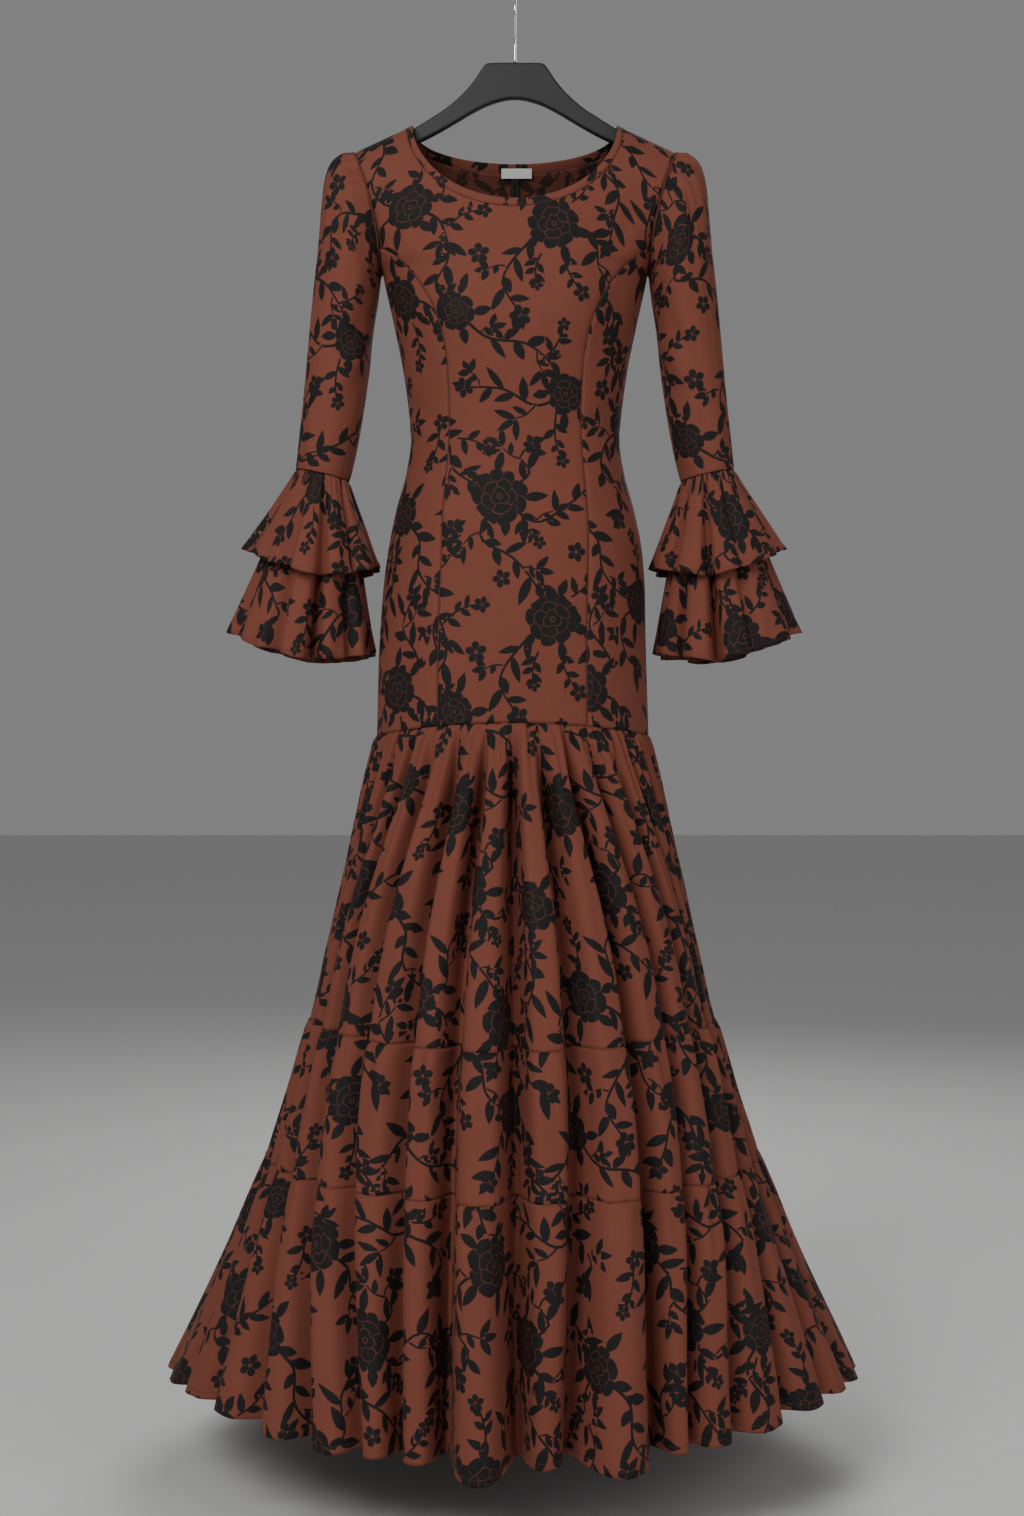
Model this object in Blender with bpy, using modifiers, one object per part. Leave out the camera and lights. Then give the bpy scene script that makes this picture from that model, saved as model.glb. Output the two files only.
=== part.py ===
"""A long-sleeved flamenco dress, filled out with no wearer, on a plain hanger with a wire hook.

The origin is the inside top of the hook, where it rests on a rod. +Z is up and the dress's front faces -Y.
Tables are in millimetres and degrees, "drop" is the distance below the origin, and the meshes are in metres.
Every piece of cloth is an open surface with a Solidify modifier, and neighbours share one surface function,
so their edges run 0.3 mm apart.
"""

import math
from collections import namedtuple

import bpy
import numpy as np
from mathutils import Matrix, Vector


def table(names, rows):
    """A table's columns by name."""
    return {name: np.array(values) for name, values in zip(names.split(), zip(*rows))}


MM = 0.001
CLOTH = 1.5
BINDING = 2.0
TAPE = 1.2
LABEL = 1.0
SEAM = 0.3

# ---------------------------------------------------------------- bodice
SHOULDER_TIP = 188
UNDERARM = 331
PRINCESS_TIP = 309
HIP = 884
HIP_RISE = 13  # how far the hip seam rises at the middle of the front and back
ARMHOLE_DEPTH = 50
TIP_HALF = 193
UNDERARM_HALF = 158
ARMHOLE_CURVE = 1.8
SHOULDER_ROUND = 120  # the drop over which a shoulder rounds out to the full chest

BODICE = table("drop half_width front back drift", (
    (154, 193, 55, 50, 0),
    (260, 168, 78, 76, 0),
    (331, 158, 100, 86, 0),
    (391, 145, 112, 84, 0),
    (445, 134, 106, 79, 0),
    (504, 126, 95, 76, 0),
    (525, 124, 93, 77, 0),
    (571, 130, 97, 86, 0),
    (616, 142, 104, 99, 0),
    (655, 150, 111, 111, 0),
    (697, 155, 116, 120, -1),
    (769, 158.5, 121, 125, -3),
    (884, 162, 125, 124, -3),
))
Bust = namedtuple("Bust", "across drop proud width height")
BUST = Bust(82, 388, 9, 38, 55)

PRINCESS = table("drop across", (
    (309, 159.4),
    (318, 146),
    (339, 124),
    (365, 107),
    (380, 98.5),
    (441, 80),
    (473, 77.5),
    (527, 76.5),
    (630, 84),
    (706, 85),
    (884, 86),
))
PRINCESS_STEPS = (0, 0.3, 0.6, 0.85, 1.0)  # from the princess seam to the side seam
BACK_STEPS = (0, 0.12, 0.28, 0.44, 0.6, 0.76, 0.9, 1.0)  # from the centre back to the side, as a quarter turn

NECK_HALF = 122
NECK_DROP = 154
FRONT_NECK = 106
BACK_NECK = 33
BAND_WIDTH = 6.6
ARMHOLE_FLATTEN = 70  # the drop over which sections flatten towards the armhole's edge

PANEL_DROPS = (884, 800, 715, 655, 600, 550, 505, 455, 410, 370, 340, 331, 325.5, 320, 309)
UPPER_STEPS = (0.35, 0.68, 0.9, 1.0)
TOP_STRIP = (2.4, 0.6)  # the last row's width below the neckline and the shoulder seam
NECK_SHARE = 0.62  # how much of a half panel's top edge, from the middle, is the neckline
NECK_STEPS = (0.0, 0.27, 0.53, 0.77, 0.93, 1.0)
BAND_GAP = 0.6  # between binding and panels, which turn sharply at the neck point
SHOULDER_STEPS = (0.8, 1.0)
PRINCESS_GAP = 0.42  # measured level: 0.3 mm across the seam where it slants to the armhole
SIDE_TOPS = ((321.0, 10.7), (325.6, 5.2))  # a side panel's first rows: drop at the seam, rise at the armhole

# ---------------------------------------------------------------- sleeves and ruffles
Ring = namedtuple("Ring", "outer_x outer_drop inner_x inner_drop half_depth bow hang", defaults=(0.0, 0.0))
SLEEVE_RINGS = (
    Ring(206, 187, 161, 334.5, 55, 5),
    Ring(220, 199, 161.6, 339, 60, 3),
    Ring(228, 222, 162, 344, 61, 1),
    Ring(232, 258, 163, 352, 59, 0),
    Ring(236, 306, 165, 368, 56, 0),
    Ring(242, 368, 170, 400, 51, 0),
    Ring(249, 440, 176, 456, 46, 0),
    Ring(256, 506, 185, 516, 41, 0),
    Ring(260, 545, 193, 556, 37, 0),
    Ring(262, 566, 199.5, 580, 35, 0),
)
ARMHOLE_REACH = (1.2, 3.0)  # how far outside the armhole's edge the sleeve begins, at its top and bottom
SLEEVE_SIDES = 16
HEAD_GATHER = 1.6
CUFF_GAP = 1.0  # between the middles of the walls: the ruffles' edges lean, and stand 0.3 mm off the sleeve

Ruffle = namedtuple("Ruffle", "name inset hem")
RUFFLES = (
    Ruffle("upper", 0.0, Ring(325, 660, 160.5, 684, 70, hang=22)),
    Ruffle("lower", 2.6, Ring(343, 760, 165.5, 786, 74, hang=20)),
)
WAVES = table("turn upper lower", (  # where each valley lies round a ruffle, and its depth at either hem
    (28, 6, 8),
    (70, 10, 16),
    (102, 19, 34),
    (138, 11, 17),
    (166, 7, 9),
    (204, 9, 10),
    (236, 10, 14),
    (264, 14, 20),
    (296, 9, 13),
    (330, 10, 10),
))
WAVE_STEPS = (0.0, 0.12, 0.3, 0.7, 0.88)
RUFFLE_STEPS = (0.0, 0.3, 0.65, 1.0)
WAVE_OPENS = 0.6  # the power with which a ruffle's valleys deepen towards its hem
WAVE_ROUND = 0.75  # the power of the sine that partly shapes a ruffle's lobes
WAVE_PILLAR = (0.2, 0.5)  # the flatter part of their shape: where it begins to rise, and over how much
PILLAR_SHARE = 0.65

# ---------------------------------------------------------------- skirt
SKIRT = table("drop half_width front back", (
    (884, 162, 125, 124),
    (937, 176.5, 146, 145),
    (985, 187, 166, 164),
    (1045, 200.5, 190, 188),
    (1099, 212.5, 212, 209),
    (1147, 223.5, 233, 229),
    (1219, 240, 265, 258),
    (1249, 250, 276, 269),
    (1297, 265, 291, 284),
    (1345, 281, 306, 299),
    (1379, 292, 318, 310),
    (1429, 314, 331, 324),
    (1477, 334, 342, 337),
    (1561, 372, 358, 355),
    (1609, 395, 368, 365),
    (1639, 409, 374, 372),
))
SKIRT_DRIFT = -3  # how far the skirt hangs to one side
Tier = namedtuple("Tier", "name top bottom front_dip steps")
TIERS = (
    Tier("upper", 884, 1219, 8, (0.0, 0.05, 0.28, 0.62, 1.0)),
    Tier("middle", 1219, 1379, 0, (0.0, 0.1, 1.0)),
    Tier("hem", 1379, 1639, 0, (0.0, 0.07, 0.52, 1.0)),
)
HEM_RISE = table("turn rise", (  # how far the hem rises at a turn away from the front or the back
    (0, 0), (20, 4), (30, 6), (40, 10), (50, 18), (65, 18), (80, 8), (90, 3),
))

# Each row is a valley and the lobe that follows it, anticlockwise from above, with 0 at the front: where the
# valley lies at the hip, at a drop of 1080 and at the hem, its depth at the hem, how much of that it keeps at the
# hip, where its lobe crests on the way to the next valley, and how far the lobe reaches out and hangs at the hem.
FOLDS = table("hip middle hem depth hip_share crest reach hang", (
    (-85, -87, -80, 16, 0.4, 0.5, 0, 0),
    (-74.4, -82, -67, 22, 0.4, 0.45, 0, 0),
    (-63.8, -75, -55.7, 24, 0.48, 0.5, 4, 0),
    (-53.2, -67, -44, 30, 0.48, 0.55, 4, 0),
    (-42.6, -58, -33.7, 36, 0.58, 0.5, 2, 2),
    (-32, -45, -24, 38, 0.63, 0.45, 0, 0),
    (-21.4, -29.2, -18, 44, 0.69, 0.5, 2, 0),
    (-10.8, -16.3, -10.7, 52, 0.73, 0.5, 26, 9),
    (-0.2, 0.5, 0.8, 56, 0.75, 0.5, 4, 0),
    (10.4, 17, 8.9, 52, 0.73, 0.5, 24, 7),
    (21, 33, 23, 43, 0.79, 0.5, 0, 0),
    (31.6, 47, 28.3, 40, 0.64, 0.5, 2, 0),
    (42.2, 59, 36.8, 36, 0.5, 0.55, 4, 0),
    (52.8, 68, 48.3, 34, 0.42, 0.5, 4, 0),
    (63.4, 76, 60, 24, 0.4, 0.5, 2, 0),
    (74, 82, 70, 20, 0.4, 0.5, 0, 0),
    (84.6, 87, 80, 16, 0.4, 0.5, 0, 0),
    (95.4, 94, 101, 18, 0.4, 0.5, 0, 0),
    (106, 100, 112, 24, 0.48, 0.5, 2, 0),
    (117, 108, 124, 28, 0.55, 0.45, 4, 0),
    (128, 119, 133, 24, 0.6, 0.5, 0, 0),
    (139, 131, 145, 28, 0.6, 0.5, 6, 2),
    (150, 146, 152, 24, 0.75, 0.5, 0, 0),
    (161, 160, 163, 34, 0.85, 0.5, 12, 4),
    (172, 172, 173, 30, 0.9, 0.5, 2, 0),
    (184, 184, 184, 36, 0.9, 0.5, 14, 6),
    (195, 197, 196, 30, 0.9, 0.5, 4, 0),
    (206, 211, 205, 24, 0.75, 0.5, 0, 0),
    (217, 225, 218, 30, 0.66, 0.55, 8, 3),
    (228, 239, 228, 26, 0.55, 0.5, 2, 0),
    (239, 251, 239, 28, 0.55, 0.5, 4, 0),
    (250, 260, 249, 22, 0.48, 0.5, 2, 0),
    (262, 267, 259, 16, 0.4, 0.5, 0, 0),
))
FOLD_COUNT = len(FOLDS["hip"])
RIGHT_SIDE_FOLD = 17  # the first fold behind the right side seam; the left side seam is before the first row
FOLD_STEPS = (0.0, 0.18, 0.4, 0.6, 0.82)
MIDDLE_DROP = 1080
HEM_DROP = 1639
TIER_GAP = 0.5  # between the middles of the walls: the tiers' edges lean in the folds
TIER_HEM = 260  # the hem tier's height, over which the hem's rise grows
LOBE_ROUND = 0.8  # the power of the sine that rounds the lobes at the hem
HEM_ROUNDS = 0.5  # how far the flat-topped folds have turned into round lobes there
PILLAR = (0.15, 0.7)  # where the flatter folds at the hip begin to rise from their valleys, and over how much
GATHER = 1.3
GATHER_STEP = 1  # the ring, counted down from a tier's top, that the gathers stand on
FOLDS_OPEN = (0.13, 0.08)  # the share of the skirt's height over which folds open, and how open they start
HANG_FROM = 0.7  # the share of the skirt's height below which lobes begin to hang
HIP_BLEND = 60

# ---------------------------------------------------------------- zip and label
ZIP_HALF = 5
ZIP_DROPS = (198, 210, 240, 284, 331, 340, 370, 410, 455, 505, 550, 600, 655)
ZIP_GAP = 0.7  # the tape lies flat under a rounded back, so its gap is wider than a seam's
SLIDER_DROP = 213
SLIDER_SIZE = (5.6, 2.0, 9.0)
BAIL_INNER = 1.25
BAIL_THICK = 0.9
BAIL_WIDE = 2.0
BAIL_CLEAR = 0.1
PULL_SIZE = (6.4, 1.1, 27.0)
PULL_TOP = 0.55
PULL_WINDOW = (3.2, 5.2)
LABEL_SIZE = (37, 10.2)
LABEL_AT = (2, 196.3)
LABEL_COLUMNS = 5

# ---------------------------------------------------------------- hanger
HANGER_THICK = 11
HANGER_EDGE = 3
HANGER_UNDER_SHOULDER = 4.2
HANGER_TOP = (
    (0, 78), (31, 78), (36, 80), (41, 87), (50, 101), (62, 115), (80, 131), (100, 144), (117, 154.5),
)
HANGER_UNDERSIDE = ((0, 121), (12, 122), (31, 127.5), (50, 137), (68, 148), (92, 162), (112, 172), (135, 182))
HANGER_SHOULDERS = (128, 150, 168, 174)
HANGER_TIP = ((174, 13), (160, 11))  # points of the arm's end, below the shoulder line's last point
WIRE = 3.5
HOOK_BEND = 18  # inside radius
HOOK_TURNS = (-40, 180)  # from the open end at the back, over the top, to the front
SHANK_TOP = 60
SHANK_PULLS = (17, 22)  # how far the curve's two handles reach below the bend and above the shank

FABRIC_COLOUR = (0.155, 0.042, 0.026)


def along(x, xs, ys):
    """Value at x on the smooth curve through the points (xs, ys)."""
    xs, ys = np.asarray(xs, float), np.asarray(ys, float)
    slopes = np.gradient(ys, xs)
    k = np.clip(np.searchsorted(xs, x, side="right") - 1, 0, len(xs) - 2)
    step = xs[k + 1] - xs[k]
    t = np.clip((x - xs[k]) / step, 0, 1)
    return (
        (1 + 2 * t) * (1 - t) ** 2 * ys[k]
        + t * (1 - t) ** 2 * step * slopes[k]
        + t * t * (3 - 2 * t) * ys[k + 1]
        + t * t * (t - 1) * step * slopes[k + 1]
    )


def at_drop(drop, rows, name):
    """A table's named column at a drop."""
    return along(drop, rows["drop"], rows[name])


def smooth_step(x):
    """0 below 0, 1 above 1, and a smooth S between."""
    x = np.clip(x, 0, 1)
    return x * x * (3 - 2 * x)


def spread(rows, columns):
    """Two grids, one with a value for each row and one for each column."""
    return np.meshgrid(np.asarray(rows, float), np.asarray(columns, float), indexing="ij")


# ================================================================ bodice
def bodice_half_width(drop):
    """Half the bodice's width; above the underarm, where the armhole's edge is."""
    up = np.clip((UNDERARM - drop) / (UNDERARM - SHOULDER_TIP), 0, 1)
    armhole = UNDERARM_HALF + (TIP_HALF - UNDERARM_HALF) * up**ARMHOLE_CURVE
    return np.where(drop < UNDERARM, armhole, at_drop(drop, BODICE, "half_width"))


def shoulder_drop(across):
    """The shoulder seam's drop at a distance from the middle; level inside the neck."""
    out = np.clip((np.abs(across) - NECK_HALF) / (TIP_HALF - NECK_HALF), 0, 1)
    return NECK_DROP + (SHOULDER_TIP - NECK_DROP) * out


def armhole_half_depth(across, drop):
    """The armhole's half depth, an ellipse from the shoulder line there to the underarm."""
    top = shoulder_drop(across)
    down = np.clip((drop - top) / (UNDERARM - top), 0, 1)
    return ARMHOLE_DEPTH * 2 * np.sqrt(down * (1 - down))


def bodice(sine, drop, side, out=0.0):
    """Points of the bodice's inner face, moved out. sine runs from -1 at one side seam to 1 at the other.

    side is "front" or "back". A level section is half an ellipse below the underarm. Above it the section ends
    at the armhole's edge and flattens towards it, and near the shoulder seam the depth shrinks as a quarter
    circle to nothing.
    """
    half = bodice_half_width(drop)
    across = sine * half
    depth = at_drop(drop, BODICE, side)
    below = np.clip((drop - shoulder_drop(across)) / SHOULDER_ROUND, 0, 1)
    depth = depth * np.sqrt(np.clip(1 - (1 - below) ** 2, 0, 1))
    open_part = smooth_step((UNDERARM - drop) / ARMHOLE_FLATTEN)
    profile = np.clip(1 - np.abs(sine) ** (2 + 0.5 * open_part), 0, 1) ** (0.5 + 0.5 * open_part)
    edge = armhole_half_depth(across, drop)
    y = edge + (depth - edge) * profile
    if side == "front":
        off = ((np.abs(across) - BUST.across) / BUST.width) ** 2 + ((drop - BUST.drop) / BUST.height) ** 2
        y = y + BUST.proud * np.exp(-off) * profile
    drift = at_drop(drop, BODICE, "drift")
    way = -1 if side == "front" else 1
    return np.stack([across + drift, way * (y + SEAM / 2 + out), -drop + 0 * across], axis=-1)


def princess_turn(drop, way):
    """The angle of the princess seam's edge: the centre panel's with a way of -1, the side panel's with 1."""
    half, depth = bodice_half_width(drop), at_drop(drop, BODICE, "front")
    turn = np.arcsin(np.clip(at_drop(drop, PRINCESS, "across") / half, 0, 0.999))
    return turn + way * (PRINCESS_GAP / 2) / np.sqrt((half * np.cos(turn)) ** 2 + (depth * np.sin(turn)) ** 2)


def neck_point(share, side, inside):
    """(across, drop) on the neckline, or inside mm below it: share 0 at the middle, 1 at the neck point."""
    turn = (1 - share) * math.pi / 2
    deep = FRONT_NECK if side == "front" else BACK_NECK
    half = NECK_HALF + inside
    return half * np.cos(turn), shoulder_drop(half) + (deep + inside) * np.sin(turn)


def panel_top(share, side, strip=0):
    """(sine, drop) of a panel's top edge, or a strip below it: share 0 at the middle, 1 at the shoulder tip."""
    inside = BAND_WIDTH + BAND_GAP + TOP_STRIP[0] * strip
    across, drop = neck_point(np.clip(share / NECK_SHARE, 0, 1), side, inside)
    start = NECK_HALF + inside
    out = np.clip((share - NECK_SHARE) / (1 - NECK_SHARE), 0, 1)
    across = np.where(share > NECK_SHARE, start + (TIP_HALF - start) * out, across)
    drop = np.where(share > NECK_SHARE, shoulder_drop(across), drop)
    drop = drop + TOP_STRIP[1] * strip * (share >= NECK_SHARE)
    return across / bodice_half_width(drop), drop


def hip_line(drop, sine):
    """Raises the lowest rows of a panel to the curved hip seam."""
    near = smooth_step((drop - 655) / (HIP - 655))
    return drop - near * (HIP_RISE * (1 - sine**2) + SEAM)


def panel_rows(shares, side, waist_sines, lowest_top):
    """A panel's grid: rows up the body at the given sines, then rows that blend into the top edge."""
    drops = [d for d in PANEL_DROPS if d >= lowest_top]
    rows = []
    for drop in drops:
        sine = waist_sines(drop)
        rows.append(bodice(sine, hip_line(drop, sine), side))
    sine, drop = waist_sines(drops[-1]), np.full(len(shares), float(drops[-1]))
    way = np.sign(shares)
    strip_sine, strip_drop = panel_top(np.abs(shares), side, strip=1)
    for step in UPPER_STEPS:
        rows.append(bodice(sine + (strip_sine * way - sine) * step, drop + (strip_drop - drop) * step, side))
    top_sine, top_drop = panel_top(np.abs(shares), side)
    rows.append(bodice(top_sine * way, top_drop, side))
    return np.array(rows[::-1])


def front_centre():
    """The front's middle panel, between the princess seams, up to the neck, shoulders and armholes."""
    half_shares = np.array([*[NECK_SHARE * step for step in NECK_STEPS], *SHOULDER_STEPS])
    shares = np.concatenate([-half_shares[:0:-1], half_shares])

    def sines(drop):
        if drop <= PRINCESS_TIP:
            return shares
        return np.sin(princess_turn(drop, -1) * shares)

    return panel_rows(shares, "front", sines, PRINCESS_TIP)


def front_side(way):
    """A front side panel, from the princess seam to the side seam and the low part of the armhole."""
    shares = np.array(PRINCESS_STEPS)
    lower = [(drop, 0.0) for drop in PANEL_DROPS if drop >= UNDERARM]
    rows = []
    for drop, rise in [*SIDE_TOPS, *lower[::-1]]:
        turn = princess_turn(drop, 1)
        sine = np.sin(turn + (math.pi / 2 - turn) * shares)
        low = hip_line(drop, sine) - rise * (sine - sine[0]) / (1 - sine[0])
        rows.append(bodice(way * sine, low, "front"))
    grid = np.array(rows)
    return grid if way > 0 else grid[:, ::-1]


def back(way):
    """Half of the back, from the centre-back seam to the side seam, armhole, shoulder and neck."""
    first = (SEAM / 2) / (NECK_HALF + BAND_WIDTH + BAND_GAP) * NECK_SHARE * 2 / math.pi
    shares = way * np.array([first, *[NECK_SHARE * step for step in NECK_STEPS[1:]], *SHOULDER_STEPS])
    turns = np.array(BACK_STEPS) * math.pi / 2

    def sines(drop):
        return way * np.maximum(np.sin(turns), SEAM / 2 / bodice_half_width(drop))

    grid = panel_rows(shares, "back", sines, UNDERARM)
    return grid[:, ::-1] if way > 0 else grid


def neck_line(side, way, inside):
    """Points of the binding from the middle to the neck point, at the front or back, on one side."""
    across, drop = neck_point(np.array(NECK_STEPS), side, inside)
    if side == "back":
        across = np.maximum(across, SEAM / 2)
    return bodice(way * across / bodice_half_width(drop), drop, side)


def neck_band():
    """The narrow binding round the neck, open at the centre back."""
    rows = []
    for inside in (0.0, BAND_WIDTH):
        lines = (
            neck_line("back", -1, inside)[:-1],
            neck_line("front", -1, inside)[:0:-1],
            neck_line("front", 1, inside),
            neck_line("back", 1, inside)[-2::-1],
        )
        rows.append(np.concatenate(lines))
    return np.array(rows)


# ================================================================ sleeves
def armhole_ring(turns):
    """The sleeve's first ring, just outside the armhole's edge. Turns run from the shoulder tip to the front."""
    middle, half = (SHOULDER_TIP + UNDERARM) / 2, (UNDERARM - SHOULDER_TIP) / 2
    drop = middle - half * np.cos(turns)
    top, bottom = ARMHOLE_REACH
    reach = top + (bottom - top) * (1 - np.cos(turns)) / 2
    x = bodice_half_width(drop) + reach
    y = (armhole_half_depth(x - reach, drop) + CLOTH / 2) * np.sign(np.round(np.sin(turns), 6))
    return np.stack([x, -y, -drop + CLOTH / 2 * np.cos(turns)], axis=-1)


def ring_points(turns, ring):
    """A ring through an outer and an inner point, half_depth deep, hanging lower at its front and back."""
    middle = np.array([(ring.outer_x + ring.inner_x) / 2, 0.0, -(ring.outer_drop + ring.inner_drop) / 2])
    arm = np.array([(ring.outer_x - ring.inner_x) / 2, 0.0, -(ring.outer_drop - ring.inner_drop) / 2])
    points = middle + np.cos(turns)[..., None] * arm
    points[..., 1] -= ring.half_depth * np.sin(turns)
    points[..., 0] -= ring.bow * np.sin(turns) ** 2
    points[..., 2] -= ring.hang * np.sin(turns) ** 2
    return points


def sleeve():
    """The right-hand sleeve's grid, from armhole to cuff."""
    turns = np.linspace(0, 2 * math.pi, SLEEVE_SIDES, endpoint=False)
    rows = [armhole_ring(turns)]
    for ring in SLEEVE_RINGS:
        rows.append(ring_points(turns, ring))
    head = np.clip(np.cos(turns), 0, 1)
    rows[1][..., 2] += HEAD_GATHER * head * np.where(np.arange(SLEEVE_SIDES) % 2, 1, -1)
    return np.array(rows)


def ruffle(row):
    """A right-hand ruffle's grid: a cone from the cuff to its hem, whose round lobes open towards the hem."""
    valleys, depths = WAVES["turn"].astype(float), WAVES[row.name].astype(float)
    following = np.append(valleys[1:], valleys[0] + 360)
    steps = np.array(WAVE_STEPS)
    angles = np.radians(valleys[:, None] + (following - valleys)[:, None] * steps).ravel()
    sink = depths[:, None] * (1 - steps) + np.roll(depths, -1)[:, None] * steps
    lobe = np.sin(math.pi * steps)
    foot, side = WAVE_PILLAR
    raised = (1 - PILLAR_SHARE) * lobe**WAVE_ROUND + PILLAR_SHARE * smooth_step((lobe - foot) / side)
    sink = (sink * (1 - raised)).ravel()
    cuff = SLEEVE_RINGS[-1]
    top = Ring(
        cuff.outer_x - row.inset, cuff.outer_drop + CUFF_GAP,
        cuff.inner_x + row.inset, cuff.inner_drop + CUFF_GAP, cuff.half_depth - row.inset,
    )
    rows = []
    for step in RUFFLE_STEPS:
        points = ring_points(angles, Ring(*(a + (b - a) * step for a, b in zip(top, row.hem))))
        inward = points.mean(axis=0) - points
        inward[..., 2] = 0
        inward /= np.linalg.norm(inward, axis=-1, keepdims=True)
        rows.append(points + inward * (sink * step**WAVE_OPENS)[..., None])
    return np.array(rows)


# ================================================================ skirt
def skirt_ring(drop, front_dip, gather, gap):
    """One ring of the skirt, five points a fold, at a drop measured at the side seams.

    The section is two half ellipses. Between valleys the cloth rises as a flat-topped fold at the hip, which
    half turns into a round lobe towards the hem.
    """
    down = (drop - HIP) / (HEM_DROP - HIP)
    steps = np.tile(FOLD_STEPS, (FOLD_COUNT, 1))
    crest = FOLDS["crest"][:, None]
    way = np.where(steps < crest, 0.5 * steps / crest, 0.5 + 0.5 * (steps - crest) / (1 - crest))
    lobe = np.sin(math.pi * way)

    lines = zip(FOLDS["hip"], FOLDS["middle"], FOLDS["hem"])
    valleys = np.array([along(drop, (HIP, MIDDLE_DROP, HEM_DROP), line) for line in lines])
    following = np.append(valleys[1:], valleys[0] + 360)
    turns = valleys[:, None] + (following - valleys)[:, None] * steps
    angles = np.radians(turns)

    over, start = FOLDS_OPEN
    keeps = FOLDS["hip_share"] * (1 - down) + down
    depth = FOLDS["depth"] * keeps * smooth_step(down / over + start)
    depth = depth[:, None] * (1 - way) + np.roll(depth, -1)[:, None] * way
    zigzag = np.where(np.arange(steps.size) % 2, gather, -gather).reshape(steps.shape)
    foot, side = PILLAR
    turned = HEM_ROUNDS * down
    rounded = turned * lobe**LOBE_ROUND + (1 - turned) * smooth_step((lobe - foot) / side)
    outward = FOLDS["reach"][:, None] * lobe * down**1.5 - depth * (1 - rounded) - zigzag + CLOTH / 2

    half = at_drop(drop, SKIRT, "half_width")
    deep = np.where(np.cos(angles) > 0, at_drop(drop, SKIRT, "front"), at_drop(drop, SKIRT, "back"))
    sine, cosine = np.sin(angles), np.cos(angles)
    length = np.sqrt((sine / half) ** 2 + (cosine / deep) ** 2)
    x = half * sine + outward * sine / half / length + SKIRT_DRIFT
    y = -deep * cosine - outward * cosine / deep / length

    fold = np.abs((turns + 90) % 180 - 90)
    rise = np.interp(fold, HEM_RISE["turn"], HEM_RISE["rise"]) * smooth_step((drop - TIERS[2].top) / TIER_HEM)
    rise = rise + HIP_RISE * cosine**2 * smooth_step(1 - (drop - HIP) / HIP_BLEND)
    hang = FOLDS["hang"][:, None] * lobe * smooth_step((down - HANG_FROM) / (1 - HANG_FROM))
    dip = front_dip * np.clip(cosine, 0, 1) ** 2
    return np.stack([x, y, -(drop + dip + hang - rise + gap)], axis=-1).reshape(-1, 3)


def skirt_tier(tier, dip_above):
    """A tier's grid, closed all round."""
    rows = []
    for k, step in enumerate(tier.steps):
        gather = GATHER if k == GATHER_STEP else 0.0
        gap = TIER_GAP / 2 if k == 0 else 0.0
        if step == 1 and tier.bottom < HEM_DROP:
            gap = -TIER_GAP / 2
        drop = tier.top + (tier.bottom - tier.top) * step
        rows.append(skirt_ring(drop, dip_above + (tier.front_dip - dip_above) * step, gather, gap))
    return np.array(rows)


def split_tier(grid):
    """The front and back halves of a tier, parted at the side seams on the lobes there."""
    steps = len(FOLD_STEPS)
    left, right = FOLD_COUNT * steps - steps // 2, RIGHT_SIDE_FOLD * steps - steps // 2
    front = np.concatenate([grid[:, left:], grid[:, : right + 1]], axis=1)
    rear = grid[:, right : left + 1].copy()
    front[:, (0, -1), 1] -= SEAM
    rear[:, (0, -1), 1] += SEAM
    return front, rear


# ================================================================ making objects
def material(name, colour, roughness, metallic=0.0):
    made = bpy.data.materials.new(name)
    made.use_nodes = True
    made.diffuse_color = (*colour, 1)
    shader = made.node_tree.nodes["Principled BSDF"]
    shader.inputs["Base Color"].default_value = (*colour, 1)
    shader.inputs["Roughness"].default_value = roughness
    shader.inputs["Metallic"].default_value = metallic
    return made


def place(obj, shade, collection):
    """Puts an object in a collection, with its own material."""
    obj.data.materials.append(material(obj.name, *shade))
    collection.objects.link(obj)
    return obj


def cloth(name, grid, thick, shade, collection, closed=False, offset=0):
    """A wall of cloth on the grid's surface, which faces out: centred on it, or outside with an offset of 1."""
    rows, columns = grid.shape[:2]
    number = np.arange(rows * columns).reshape(rows, columns)
    if closed:
        number = np.concatenate([number, number[:, :1]], axis=1)
    faces = np.stack([number[:-1, :-1], number[1:, :-1], number[1:, 1:], number[:-1, 1:]], axis=-1)
    mesh = bpy.data.meshes.new(name)
    mesh.from_pydata((grid.reshape(-1, 3) * MM).tolist(), [], faces.reshape(-1, 4).tolist())
    mesh.validate()
    obj = place(bpy.data.objects.new(name, mesh), shade, collection)
    wall = obj.modifiers.new("thickness", "SOLIDIFY")
    wall.thickness = thick * MM
    wall.offset = offset
    mesh.shade_smooth()
    return obj


def mirrored(grid):
    """A grid for the other side, its columns turned round so that it still faces out."""
    other = grid * np.array([-1, 1, 1])
    return other[:, ::-1]


def flat_outline(name, points, thick, edge, shade, collection):
    """A flat outline in the XZ plane with rounded edges, as a 2D curve."""
    curve = bpy.data.curves.new(name, "CURVE")
    curve.dimensions = "2D"
    curve.fill_mode = "BOTH"
    curve.extrude = (thick / 2 - edge) * MM
    curve.bevel_depth = edge * MM
    curve.bevel_resolution = 1
    curve.offset = -edge * MM
    spline = curve.splines.new("POLY")
    spline.points.add(len(points) - 1)
    for point, (x, z) in zip(spline.points, points):
        point.co = (x * MM, z * MM, 0, 1)
    spline.use_cyclic_u = True
    obj = place(bpy.data.objects.new(name, curve), shade, collection)
    obj.rotation_euler = (math.radians(90), 0, 0)
    return obj


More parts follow.
